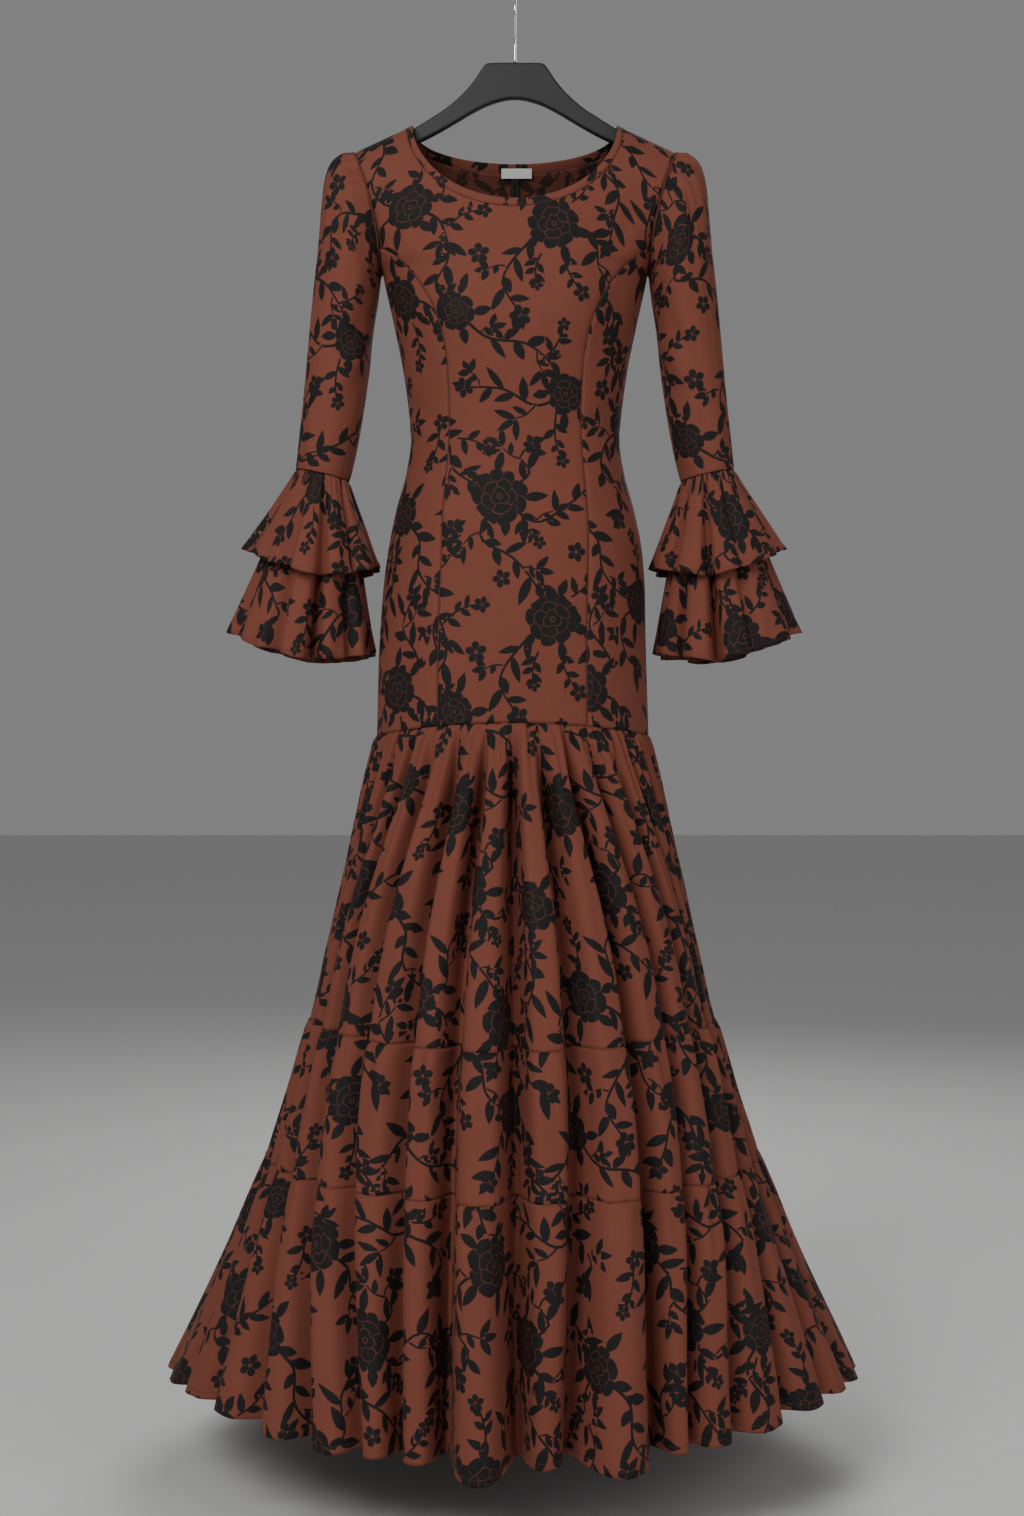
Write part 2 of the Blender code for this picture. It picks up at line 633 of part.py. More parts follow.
def wire(name, route, thick, shade, collection):
    """A round wire along a route of points."""
    curve = bpy.data.curves.new(name, "CURVE")
    curve.dimensions = "3D"
    curve.bevel_depth = thick / 2 * MM
    curve.bevel_resolution = 2
    curve.use_fill_caps = True
    spline = curve.splines.new("POLY")
    spline.points.add(len(route) - 1)
    for point, at in zip(spline.points, route):
        point.co = (*(c * MM for c in at), 1)
    return place(bpy.data.objects.new(name, curve), shade, collection)


def box(name, size, at, bevel, shade, collection, parent=None):
    """A block with rounded edges, sized and placed in millimetres."""
    bpy.ops.mesh.primitive_cube_add(size=1)
    obj = bpy.context.object
    obj.name = obj.data.name = name
    obj.data.transform(Matrix.Translation(Vector(at) * MM) @ Matrix.Diagonal((*[s * MM for s in size], 1)))
    for held in obj.users_collection:
        held.objects.unlink(obj)
    if shade:
        place(obj, shade, collection)
    else:
        collection.objects.link(obj)
        obj.display_type = "WIRE"
        obj.hide_render = True
    if bevel:
        edge = obj.modifiers.new("edges", "BEVEL")
        edge.width = bevel * MM
        edge.segments = 1
    obj.parent = parent
    return obj


def cut(obj, tool, operation="DIFFERENCE"):
    made = obj.modifiers.new(tool.name, "BOOLEAN")
    made.operation = operation
    made.object = tool
    made.solver = "EXACT"


# ================================================================ hanger and hook
def hanger(collection):
    """A flat hanger: a raised middle, arms that follow the shoulders, and an arched underside."""
    shoulders = [(x, shoulder_drop(x) + HANGER_UNDER_SHOULDER) for x in HANGER_SHOULDERS]
    tip = [(x, shoulders[-1][1] + drop) for x, drop in HANGER_TIP]
    half = [*HANGER_TOP, *shoulders, *tip, *HANGER_UNDERSIDE[::-1]]
    outline = [(x, -drop) for x, drop in half] + [(-x, -drop) for x, drop in half[::-1] if x > 0]
    charcoal = ((0.018, 0.018, 0.019), 0.45)
    return flat_outline("hanger", outline, HANGER_THICK, HANGER_EDGE, charcoal, collection)


def hook(collection):
    """A question-mark hook in the YZ plane, which passes in front of the rod and turns over it."""
    bend = HOOK_BEND + WIRE / 2
    start, end = HOOK_TURNS
    route = [
        np.array([0, bend * math.cos(turn), bend * math.sin(turn) - HOOK_BEND])
        for turn in np.radians(np.linspace(start, end, 17))
    ]
    below, above = SHANK_PULLS
    shank = np.array([0, 0, -SHANK_TOP])
    handles = (route[-1], route[-1] - [0, 0, below], shank + [0, 0, above], shank)
    for t in np.linspace(0, 1, 8)[1:]:
        weights = ((1 - t) ** 3, 3 * t * (1 - t) ** 2, 3 * t * t * (1 - t), t**3)
        route.append(sum(weight * handle for weight, handle in zip(weights, handles)))
    route.append(np.array([0, 0, SEAM - HANGER_TOP[0][1]]))
    return wire("hook", route, WIRE, ((0.8, 0.8, 0.82), 0.12, 1.0), collection)


# ================================================================ zip and label
def back_point(drop, across, out):
    """A point on the back, moved out of the cloth's middle by out mm."""
    step = 1.0
    drop, across = np.broadcast_arrays(np.asarray(drop, float), np.asarray(across, float))
    here = bodice(across / bodice_half_width(drop), drop, "back")
    lower = bodice(across / bodice_half_width(drop + step), drop + step, "back")
    slope = (lower[..., 1] - here[..., 1]) / step
    length = np.sqrt(1 + slope**2)
    here[..., 1] += out / length
    here[..., 2] += out * slope / length
    return here


def zip_tape(collection):
    """The zip's tape, a strip on the inside of the centre-back seam."""
    inside = -(ZIP_GAP + TAPE / 2)
    drops, across = spread(ZIP_DROPS, (ZIP_HALF, -ZIP_HALF))
    grid = back_point(drops, across, inside)
    return cloth("zip_tape", grid, TAPE, ((0.01, 0.01, 0.01), 0.6), collection)


def label(collection):
    """A small bare label on the inside of the back neck."""
    inside = -(ZIP_GAP + TAPE + SEAM + LABEL / 2)
    at, level = LABEL_AT
    wide, tall = LABEL_SIZE
    columns = np.linspace(at + wide / 2, at - wide / 2, LABEL_COLUMNS)
    drops, across = spread((level - tall / 2, level + tall / 2), columns)
    grid = back_point(drops, across, inside)
    return cloth("label", grid, LABEL, ((0.75, 0.74, 0.72), 0.8), collection)


def zip_slider(collection, cutters):
    """The slider on the outside of the back, its bail, and the pull tab that hangs in the bail."""
    metal = ((0.02, 0.02, 0.022), 0.35, 0.8)
    face = CLOTH + SEAM
    here, lower = back_point(SLIDER_DROP, 0.0, face), back_point(SLIDER_DROP + 1, 0.0, face)
    base = bpy.data.objects.new("zip_slider_base", None)
    base.location = Vector(here) * MM
    base.rotation_euler = (math.atan2(lower[1] - here[1], here[2] - lower[2]), 0, 0)
    collection.objects.link(base)

    plate = SLIDER_SIZE[1]
    axis_out = plate + BAIL_INNER + BAIL_CLEAR
    outer = BAIL_INNER + BAIL_THICK
    bail_size = (BAIL_WIDE, axis_out + outer - plate / 2, 2 * outer)
    tunnel_size = (2 * BAIL_WIDE, 2 * BAIL_INNER, 2 * BAIL_INNER)
    slider = box("zip_slider", SLIDER_SIZE, (0, plate / 2, 0), 0.35, metal, collection, base)
    bail = box("bail", bail_size, (0, (plate / 2 + axis_out + outer) / 2, 0), 0.4, None, cutters, base)
    tunnel = box("tunnel", tunnel_size, (0, axis_out, 0), 0.3, None, cutters, base)
    cut(slider, bail, "UNION")
    cut(slider, tunnel)

    pivot = bpy.data.objects.new("zip_pull_axis", None)
    pivot.parent = base
    pivot.location = (0, axis_out * MM, 0)
    collection.objects.link(pivot)
    pull = box("zip_pull", PULL_SIZE, (0, 0, PULL_TOP - PULL_SIZE[2] / 2), 0.2, metal, collection, pivot)
    wide, tall = PULL_WINDOW
    size = (wide, 3 * PULL_SIZE[1], tall)
    window = box("window", size, (0, 0, -PULL_TOP - tall / 2), 0, None, cutters, pivot)
    cut(pull, window)


# ================================================================ the dress
def build():
    for obj in list(bpy.data.objects):
        bpy.data.objects.remove(obj, do_unlink=True)
    dress = bpy.data.collections.new("flamenco_dress")
    cutters = bpy.data.collections.new("cutters")
    for made in (dress, cutters):
        bpy.context.scene.collection.children.link(made)
    fabric = (FABRIC_COLOUR, 0.8)

    cloth("bodice_front_centre", front_centre(), CLOTH, fabric, dress, offset=1)
    for side, way in (("left", -1), ("right", 1)):
        cloth(f"bodice_front_side_{side}", front_side(way), CLOTH, fabric, dress, offset=1)
        cloth(f"bodice_back_{side}", back(way), CLOTH, fabric, dress, offset=1)
        turn = mirrored if way < 0 else np.asarray
        cloth(f"sleeve_{side}", turn(sleeve()), CLOTH, fabric, dress, closed=True)
        for row in RUFFLES:
            cloth(f"ruffle_{row.name}_{side}", turn(ruffle(row)), CLOTH, fabric, dress, closed=True)
    cloth("neck_band", neck_band(), BINDING, fabric, dress, offset=1)

    dip = 0
    for tier in TIERS:
        front, rear = split_tier(skirt_tier(tier, dip))
        cloth(f"skirt_{tier.name}_front", front, CLOTH, fabric, dress)
        cloth(f"skirt_{tier.name}_back", rear, CLOTH, fabric, dress)
        dip = tier.front_dip

    zip_tape(dress)
    label(dress)
    zip_slider(dress, cutters)
    hanger(dress)
    hook(dress)


build()
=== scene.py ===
"""A long-sleeved flamenco dress on a hanger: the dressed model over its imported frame.

Tables are in millimetres and degrees, and "drop" is the distance below the inside top of the hook.
The dress's front faces -Y, and the meshes are in metres. Each piece of cloth is a surface of two parameters
on a grid, given a thin wall, and carries its place in the flat printed cloth in each face's corners.
"""

import math
from collections import namedtuple

import bmesh
import bpy
import numpy as np
from bpy.props import FloatProperty, FloatVectorProperty, PointerProperty
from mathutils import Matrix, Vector


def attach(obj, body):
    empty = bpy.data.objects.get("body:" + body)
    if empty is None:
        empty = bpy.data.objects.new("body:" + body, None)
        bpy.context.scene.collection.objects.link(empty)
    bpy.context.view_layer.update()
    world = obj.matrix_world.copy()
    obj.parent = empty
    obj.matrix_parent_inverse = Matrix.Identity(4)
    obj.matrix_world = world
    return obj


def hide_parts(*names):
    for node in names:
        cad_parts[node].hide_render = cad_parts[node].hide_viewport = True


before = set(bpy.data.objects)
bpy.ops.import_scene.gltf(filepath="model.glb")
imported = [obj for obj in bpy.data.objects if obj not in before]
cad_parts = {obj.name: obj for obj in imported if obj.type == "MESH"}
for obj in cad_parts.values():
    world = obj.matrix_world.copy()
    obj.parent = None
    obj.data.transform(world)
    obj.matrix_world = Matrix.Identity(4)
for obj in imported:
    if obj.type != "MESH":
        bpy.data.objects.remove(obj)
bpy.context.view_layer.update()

bl_info = {
    "name": "Flamenco dress on a hanger",
    "version": (1, 0, 0),
    "blender": (4, 5, 0),
    "location": "View3D > Sidebar > Dress",
    "description": "Dresses the frame of a flamenco dress with printed crepe, seams, zip, label and hanger",
    "category": "Object",
}


def table(names, rows):
    """A table's columns by name."""
    return {name: np.array(values, float) for name, values in zip(names.split(), zip(*rows))}


MM = 0.001
WALL = 1.5  # the solid walls' thickness, whose middles the cloth lies on
SEAM = 0.3

# ---------------------------------------------------------------- bodice
SHOULDER_TIP = 188
UNDERARM = 331
PRINCESS_TIP = 309
PRINCESS_START = 11  # how far below its tip the princess seam meets its own curve
PRINCESS_HALF_GAP = 0.0012  # half the seam's gap, as an angle round the bodice
HIP = 884
HIP_RISE = 13  # how far the hip seam curves up at the middle
HIP_CURVE_TOP = 655  # the rows of the bodice bend towards that curve from here down
ARMHOLE_DEPTH = 50
TIP_HALF = 193
UNDERARM_HALF = 158
ARMHOLE_CURVE = 1.8
SHOULDER_ROUND = 120  # how far below the shoulder the bodice reaches its full depth
ARMHOLE_FLATTEN = 70  # how far above the underarm the bodice is flat at its armholes
BODICE = table("drop half_width front back drift", (
    (154, 193, 55, 50, 0),
    (260, 168, 78, 76, 0),
    (331, 158, 100, 86, 0),
    (391, 145, 112, 84, 0),
    (445, 134, 106, 79, 0),
    (504, 126, 95, 76, 0),
    (525, 124, 93, 77, 0),
    (571, 130, 97, 86, 0),
    (616, 142, 104, 99, 0),
    (655, 150, 111, 111, 0),
    (697, 155, 116, 120, -1),
    (769, 158.5, 121, 125, -3),
    (884, 162, 125, 124, -3),
))
Bust = namedtuple("Bust", "across drop proud width height")
BUST = Bust(82, 388, 9, 38, 55)
PRINCESS = table("drop across", (
    (309, 159.4),
    (318, 146),
    (339, 124),
    (365, 107),
    (380, 98.5),
    (441, 80),
    (473, 77.5),
    (527, 76.5),
    (630, 84),
    (706, 85),
    (884, 86),
))
NECK_HALF = 122
NECK_DROP = 154
FRONT_NECK = 106
BACK_NECK = 33
BAND_WIDTH = 6.6
BAND_GAP = 0.6
NECK_SHARE = 0.62  # the share of a panel's top edge that runs along the neck

# ---------------------------------------------------------------- sleeves and ruffles
Ring = namedtuple("Ring", "outer_x outer_drop inner_x inner_drop half_depth bow hang", defaults=(0.0, 0.0))
SLEEVE_RINGS = table("step outer_x outer_drop inner_x inner_drop half_depth bow", (
    (0, 206, 187, 161, 334.5, 55, 5),
    (1, 220, 199, 161.6, 339, 60, 3),
    (2, 228, 222, 162, 344, 61, 1),
    (3, 232, 258, 163, 352, 59, 0),
    (4, 236, 306, 165, 368, 56, 0),
    (5, 242, 368, 170, 400, 51, 0),
    (6, 249, 440, 176, 456, 46, 0),
    (7, 256, 506, 185, 516, 41, 0),
    (8, 260, 545, 193, 556, 37, 0),
    (9, 262, 566, 199.5, 580, 35, 0),
))
ARMHOLE_REACH = (1.2, 3.0)  # how far outside the armhole's edge a sleeve begins, at its top and bottom
CUFF = Ring(262, 566, 199.5, 580, 35)
CUFF_GAP = 1.0
Ruffle = namedtuple("Ruffle", "name inset hem")
RUFFLES = (
    Ruffle("upper", 0.0, Ring(325, 660, 160.5, 684, 70, hang=22)),
    Ruffle("lower", 2.6, Ring(343, 760, 165.5, 786, 74, hang=20)),
)
WAVES = table("turn upper lower", (
    (28, 6, 8),
    (70, 10, 16),
    (102, 19, 34),
    (138, 11, 17),
    (166, 7, 9),
    (204, 9, 10),
    (236, 10, 14),
    (264, 14, 20),
    (296, 9, 13),
    (330, 10, 10),
))
WAVE_OPENS = 0.6  # the power by which a ruffle's waves deepen towards its hem
WAVE_ROUND = 0.75
WAVE_PILLAR = (0.2, 0.5)  # where the side of a lobe begins, and how wide it is
PILLAR_SHARE = 0.65
RUFFLE_LENGTHS = (120, 215)
RUFFLE_SEEDS = (("right", 1), ("left", 4))

# ---------------------------------------------------------------- skirt
SKIRT = table("drop half_width front back", (
    (884, 162, 125, 124),
    (937, 176.5, 146, 145),
    (985, 187, 166, 164),
    (1045, 200.5, 190, 188),
    (1099, 212.5, 212, 209),
    (1147, 223.5, 233, 229),
    (1219, 240, 265, 258),
    (1249, 250, 276, 269),
    (1297, 265, 291, 284),
    (1345, 281, 306, 299),
    (1379, 292, 318, 310),
    (1429, 314, 331, 324),
    (1477, 334, 342, 337),
    (1561, 372, 358, 355),
    (1609, 395, 368, 365),
    (1639, 409, 374, 372),
))
SKIRT_DRIFT = -3
Tier = namedtuple("Tier", "name top bottom dip_above front_dip")
TIERS = (
    Tier("upper", 884, 1219, 0, 8),
    Tier("middle", 1219, 1379, 8, 0),
    Tier("hem", 1379, 1639, 0, 0),
)
HEM_RISE = table("turn rise", (
    (0, 0), (20, 4), (30, 6), (40, 10), (50, 18), (65, 18), (80, 8), (90, 3),
))
FOLDS = table("hip middle hem depth hip_share crest reach hang", (
    (-85, -87, -80, 16, 0.4, 0.5, 0, 0),
    (-74.4, -82, -67, 22, 0.4, 0.45, 0, 0),
    (-63.8, -75, -55.7, 24, 0.48, 0.5, 4, 0),
    (-53.2, -67, -44, 30, 0.48, 0.55, 4, 0),
    (-42.6, -58, -33.7, 36, 0.58, 0.5, 2, 2),
    (-32, -45, -24, 38, 0.63, 0.45, 0, 0),
    (-21.4, -29.2, -18, 44, 0.69, 0.5, 2, 0),
    (-10.8, -16.3, -10.7, 52, 0.73, 0.5, 26, 9),
    (-0.2, 0.5, 0.8, 56, 0.75, 0.5, 4, 0),
    (10.4, 17, 8.9, 52, 0.73, 0.5, 24, 7),
    (21, 33, 23, 43, 0.79, 0.5, 0, 0),
    (31.6, 47, 28.3, 40, 0.64, 0.5, 2, 0),
    (42.2, 59, 36.8, 36, 0.5, 0.55, 4, 0),
    (52.8, 68, 48.3, 34, 0.42, 0.5, 4, 0),
    (63.4, 76, 60, 24, 0.4, 0.5, 2, 0),
    (74, 82, 70, 20, 0.4, 0.5, 0, 0),
    (84.6, 87, 80, 16, 0.4, 0.5, 0, 0),
    (95.4, 94, 101, 18, 0.4, 0.5, 0, 0),
    (106, 100, 112, 24, 0.48, 0.5, 2, 0),
    (117, 108, 124, 28, 0.55, 0.45, 4, 0),
    (128, 119, 133, 24, 0.6, 0.5, 0, 0),
    (139, 131, 145, 28, 0.6, 0.5, 6, 2),
    (150, 146, 152, 24, 0.75, 0.5, 0, 0),
    (161, 160, 163, 34, 0.85, 0.5, 12, 4),
    (172, 172, 173, 30, 0.9, 0.5, 2, 0),
    (184, 184, 184, 36, 0.9, 0.5, 14, 6),
    (195, 197, 196, 30, 0.9, 0.5, 4, 0),
    (206, 211, 205, 24, 0.75, 0.5, 0, 0),
    (217, 225, 218, 30, 0.66, 0.55, 8, 3),
    (228, 239, 228, 26, 0.55, 0.5, 2, 0),
    (239, 251, 239, 28, 0.55, 0.5, 4, 0),
    (250, 260, 249, 22, 0.48, 0.5, 2, 0),
    (262, 267, 259, 16, 0.4, 0.5, 0, 0),
))
FOLD_COUNT = len(FOLDS["hip"])
RIGHT_SIDE_FOLD = 17
MIDDLE_DROP = 1080
HEM_DROP = 1639
LOBE_ROUND = 0.8
HEM_ROUNDS = 0.5  # how far the lobes have turned round by the hem
PILLAR = (0.15, 0.7)  # where the side of a fold begins, and how wide it is
FOLDS_OPEN = (0.13, 0.08)  # the share of the skirt over which folds open, and how open they begin
HANG_FROM = 0.7
HIP_BLEND = 60
FOLD_STEPS = 18  # columns a fold
SIDE_PLEATS = 5.2  # fine gathers a fold, near a tier's seam
PLEATS_FADE = (34, 5)  # how far below the seam the fine gathers fade out, and over what they begin
RIPPLES_FADE = (110, 16)  # the same for the broad ripples below them
SEAM_PINCH = 2.5  # how far the cloth is drawn in beside a tier's seam
FLOOR_DROP = 1745

# ================================================================ curves and blends
def along(x, xs, ys):
    """Value at x on the smooth curve through the points (xs, ys), a cubic Hermite with central slopes."""
    xs, ys = np.asarray(xs, float), np.asarray(ys, float)
    slopes = np.gradient(ys, xs)
    k = np.clip(np.searchsorted(xs, x, side="right") - 1, 0, len(xs) - 2)
    step = xs[k + 1] - xs[k]
    t = np.clip((x - xs[k]) / step, 0, 1)
    return (
        (1 + 2 * t) * (1 - t) ** 2 * ys[k]
        + t * (1 - t) ** 2 * step * slopes[k]
        + t * t * (3 - 2 * t) * ys[k + 1]
        + t * t * (t - 1) * step * slopes[k + 1]
    )


def at_drop(drop, rows, name):
    """A table's named column at a drop."""
    return along(drop, rows["drop"], rows[name])


def smooth_step(x):
    """0 below 0, 1 above 1, and a smooth S between."""
    x = np.clip(x, 0, 1)
    return x * x * (3 - 2 * x)


def uneven(x, seed):
    """A smooth uneven wave between about -1 and 1: three sines whose lengths share no common measure."""
    waves = np.sin(x + 1.7 * seed) + np.sin(1.618 * x + 2.3 * seed + 1) + np.sin(2.414 * x + 0.9 * seed + 4)
    return waves / 2.4


def unit(vectors):
    """Vectors of length 1."""
    return vectors / np.maximum(np.linalg.norm(vectors, axis=-1, keepdims=True), 1e-9)


def at_places(places, run, points):
    """The points at places along a line, by straight steps between its own points, which stand at run."""
    return np.stack([np.interp(places, run, column) for column in points.T], -1)


def ring_closed(grid):
    """A closed grid with its first column again after the last."""
    return np.concatenate([grid, grid[:, :1]], axis=1)


def arc(points, axis):
    """Length along a grid's lines in one direction, from the first point of each line."""
    step = np.linalg.norm(np.diff(points, axis=axis), axis=-1)
    start = np.zeros_like(np.take(step, [0], axis=axis))
    return np.concatenate([start, np.cumsum(step, axis=axis)], axis=axis)


def outward(points):
    """Unit normals of a grid whose rows run down and whose columns run anticlockwise from above."""
    down, over = np.gradient(points, axis=0), np.gradient(points, axis=1)
    return unit(np.cross(down, over))


def creases(x, drop, rows):
    """Soft troughs and ridges: each row is a line (x0, drop0, x1, drop1), its half width and its depth."""
    total = np.zeros(np.broadcast(x, drop).shape)
    for x0, drop0, x1, drop1, width, depth in rows:
        dx, dd = x1 - x0, drop1 - drop0
        t = ((x - x0) * dx + (drop - drop0) * dd) / (dx * dx + dd * dd)
        t = np.clip(t, 0, 1)
        off = np.hypot(x - x0 - dx * t, drop - drop0 - dd * t)
        total = total + depth * np.exp(-((off / width) ** 2)) * np.sin(np.pi * np.clip(t, 0.08, 0.92)) ** 0.5
    return total


# ================================================================ bodice
def bodice_half_width(drop):
    """Half the bodice's width; above the underarm, where the armhole's edge is."""
    up = np.clip((UNDERARM - drop) / (UNDERARM - SHOULDER_TIP), 0, 1)
    armhole = UNDERARM_HALF + (TIP_HALF - UNDERARM_HALF) * up**ARMHOLE_CURVE
    return np.where(drop < UNDERARM, armhole, at_drop(drop, BODICE, "half_width"))


def shoulder_drop(across):
    """The shoulder seam's drop at a distance from the middle; level inside the neck."""
    out = np.clip((np.abs(across) - NECK_HALF) / (TIP_HALF - NECK_HALF), 0, 1)
    return NECK_DROP + (SHOULDER_TIP - NECK_DROP) * out


def armhole_half_depth(across, drop):
    """The armhole's half depth, an ellipse from the shoulder line there to the underarm."""
    top = shoulder_drop(across)
    down = np.clip((drop - top) / (UNDERARM - top), 0, 1)
    return ARMHOLE_DEPTH * 2 * np.sqrt(down * (1 - down))


def bodice(sine, drop, side, out=0.0):
    """Points of the bodice: half ellipses below the underarm, flattening to the armhole's edge above it.

    sine runs from -1 at one side seam to 1 at the other, and out is measured from the wall's inner face.
    """
    half = bodice_half_width(drop)
    across = sine * half
    depth = at_drop(drop, BODICE, side)
    below = np.clip((drop - shoulder_drop(across)) / SHOULDER_ROUND, 0, 1)
    depth = depth * np.sqrt(np.clip(1 - (1 - below) ** 2, 0, 1))
    open_part = smooth_step((UNDERARM - drop) / ARMHOLE_FLATTEN)
    profile = np.clip(1 - np.abs(sine) ** (2 + 0.5 * open_part), 0, 1) ** (0.5 + 0.5 * open_part)
    edge = armhole_half_depth(across, drop)
    y = edge + (depth - edge) * profile
    if side == "front":
        off = ((np.abs(across) - BUST.across) / BUST.width) ** 2 + ((drop - BUST.drop) / BUST.height) ** 2
        y = y + BUST.proud * np.exp(-off) * profile
    way = -1 if side == "front" else 1
    x = across + at_drop(drop, BODICE, "drift")
    return np.stack([x, way * (y + SEAM / 2 + out), -drop + 0 * across], -1)


def princess_turn(drop):
    """The angle round the bodice at which the princess seam runs."""
    return np.arcsin(np.clip(at_drop(drop, PRINCESS, "across") / bodice_half_width(drop), 0, 0.999))


def hip_line(drop, sine):
    """Drops bent, towards the hip, to its curved seam: up by HIP_RISE (1 - sine^2) and the seam's gap."""
    near = smooth_step((drop - HIP_CURVE_TOP) / (HIP - HIP_CURVE_TOP))
    return drop - near * (HIP_RISE * (1 - sine**2) + SEAM)


def neck_point(share, side, inside):
    """(across, drop) on the neckline, or inside mm below it: share 0 at the middle, 1 at the neck point."""
    turn = (1 - share) * math.pi / 2
    deep = FRONT_NECK if side == "front" else BACK_NECK
    half = NECK_HALF + inside
    return half * np.cos(turn), shoulder_drop(half) + (deep + inside) * np.sin(turn)


def panel_top(share, side):
    """(sine, drop) of a panel's top edge: share 0 at the middle, 1 at the shoulder tip."""
    inside = BAND_WIDTH + BAND_GAP
    across, drop = neck_point(np.clip(share / NECK_SHARE, 0, 1), side, inside)
    start = NECK_HALF + inside
    out = np.clip((share - NECK_SHARE) / (1 - NECK_SHARE), 0, 1)
    across = np.where(share > NECK_SHARE, start + (TIP_HALF - start) * out, across)
    drop = np.where(share > NECK_SHARE, shoulder_drop(across), drop)
    return across / bodice_half_width(drop), drop


def princess_sine(drop, share=1, gap=0):
    """The sine at a share of the way to the right princess seam, which starts at the armhole's edge."""
    down = np.clip((drop - PRINCESS_TIP) / PRINCESS_START, 0, 1)
    turn = princess_turn(np.maximum(drop, PRINCESS_TIP + PRINCESS_START)) - gap
    return share * (1 - down) + np.sin(turn * share) * down


def panel(shares, side, waist_sine, lowest_top, pitch):
    """A panel's (sine, drop) grid: level rows up to lowest_top, then rows that blend into the top edge.

    waist_sine(share, drop) places a column at a drop. The lowest rows bend to the curved hip seam.
    """
    drops = np.linspace(lowest_top, HIP, int((HIP - lowest_top) / pitch) + 1)[1:, None]
    sine = waist_sine(shares[None, :], drops)
    low = hip_line(drops, sine)
    top_sine, top_drop = panel_top(np.abs(shares), side)
    top_sine = top_sine * np.sign(shares)
    base_sine = waist_sine(shares, np.full(len(shares), float(lowest_top)))
    steps = np.linspace(0, 1, int((lowest_top - NECK_DROP) / pitch) + 1)[:, None]
    sines = top_sine + (base_sine - top_sine) * steps
    highs = top_drop + (lowest_top - top_drop) * steps
    return np.concatenate([sines, sine]), np.concatenate([highs, low])


FRONT_CREASES = (
    (-150, 470, -84, 520, 9, -1.6), (-146, 505, -96, 540, 7, 1.4), (140, 480, 82, 522, 8, -1.5),
    (143, 516, 98, 548, 7, 1.3), (-60, 640, -75, 860, 13, -1.3), (-20, 700, -28, 868, 11, 1.2),
    (36, 690, 30, 866, 12, -1.4), (96, 680, 112, 866, 12, 1.2), (-118, 700, -126, 866, 10, -1.4),
    (-128, 350, -92, 430, 10, 1.3), (126, 352, 94, 436, 11, -1.5), (-30, 300, -52, 420, 16, 1.2),
    (24, 290, 50, 410, 16, -1.2), (-150, 250, -112, 330, 9, 1.6), (148, 246, 116, 322, 9, -1.5),
    (0, 500, 6, 600, 14, 1.0), (-105, 560, -70, 600, 9, -1.0), (108, 566, 66, 612, 9, 1.1),
)
BACK_CREASES = (
    (-130, 480, -60, 515, 10, -2.0), (128, 474, 56, 512, 10, -2.0), (-120, 516, -50, 540, 9, 1.8),
    (118, 512, 48, 538, 9, 1.7), (-80, 330, -40, 440, 14, 1.4), (84, 336, 36, 444, 14, -1.4),
    (-100, 680, -112, 864, 12, 1.3), (-44, 700, -52, 866, 12, -1.4), (50, 690, 60, 866, 12, 1.3),
    (112, 690, 118, 866, 11, -1.3), (-150, 250, -110, 320, 9, -1.6), (150, 248, 112, 318, 9, 1.6),
)


def bodice_cloth(sine, drop, side, seams):
    """The bodice's middle surface with its creases, sunk a little along its seams.

    seams is the distance in mm of each point from the nearest of the panel's own edges.
    """
    points = bodice(sine, drop, side, WALL / 2)
    rows = FRONT_CREASES if side == "front" else BACK_CREASES
    lift = creases(points[..., 0], drop, rows)
    lift = lift + 0.5 * uneven(points[..., 0] / 17 + drop / 61, 2) * uneven(drop / 23, 5)
    lift = lift * smooth_step(seams / 14) - 0.7 * np.exp(-((seams / 3.0) ** 2))
    return points + outward(points) * lift[..., None]


# ================================================================ sleeves
def ring_points(turns, rows):
    """Rings through an outer and an inner point, which hang lower at their front and back."""
    outer = np.stack([rows.outer_x, 0 * rows.outer_x, -rows.outer_drop], -1)
    inner = np.stack([rows.inner_x, 0 * rows.outer_x, -rows.inner_drop], -1)
    middle, arm = (outer + inner) / 2, (outer - inner) / 2
    points = middle + np.cos(turns)[..., None] * arm
    points[..., 1] -= rows.half_depth * np.sin(turns)
    points[..., 0] -= rows.bow * np.sin(turns) ** 2
    points[..., 2] -= rows.hang * np.sin(turns) ** 2
    return points


def armhole_ring(turns):
    """The sleeve's first ring, just outside the armhole's edge."""
    middle, half = (SHOULDER_TIP + UNDERARM) / 2, (UNDERARM - SHOULDER_TIP) / 2
    drop = middle - half * np.cos(turns)
    top, bottom = ARMHOLE_REACH
    reach = top + (bottom - top) * (1 - np.cos(turns)) / 2
    x = bodice_half_width(drop) + reach
    y = (armhole_half_depth(x - reach, drop) + WALL / 2) * np.sign(np.round(np.sin(turns), 6))
    return np.stack([x, -y, -drop + WALL / 2 * np.cos(turns)], axis=-1)


DEGREE = 0.9  # millimetres of the sleeve's girth to a degree
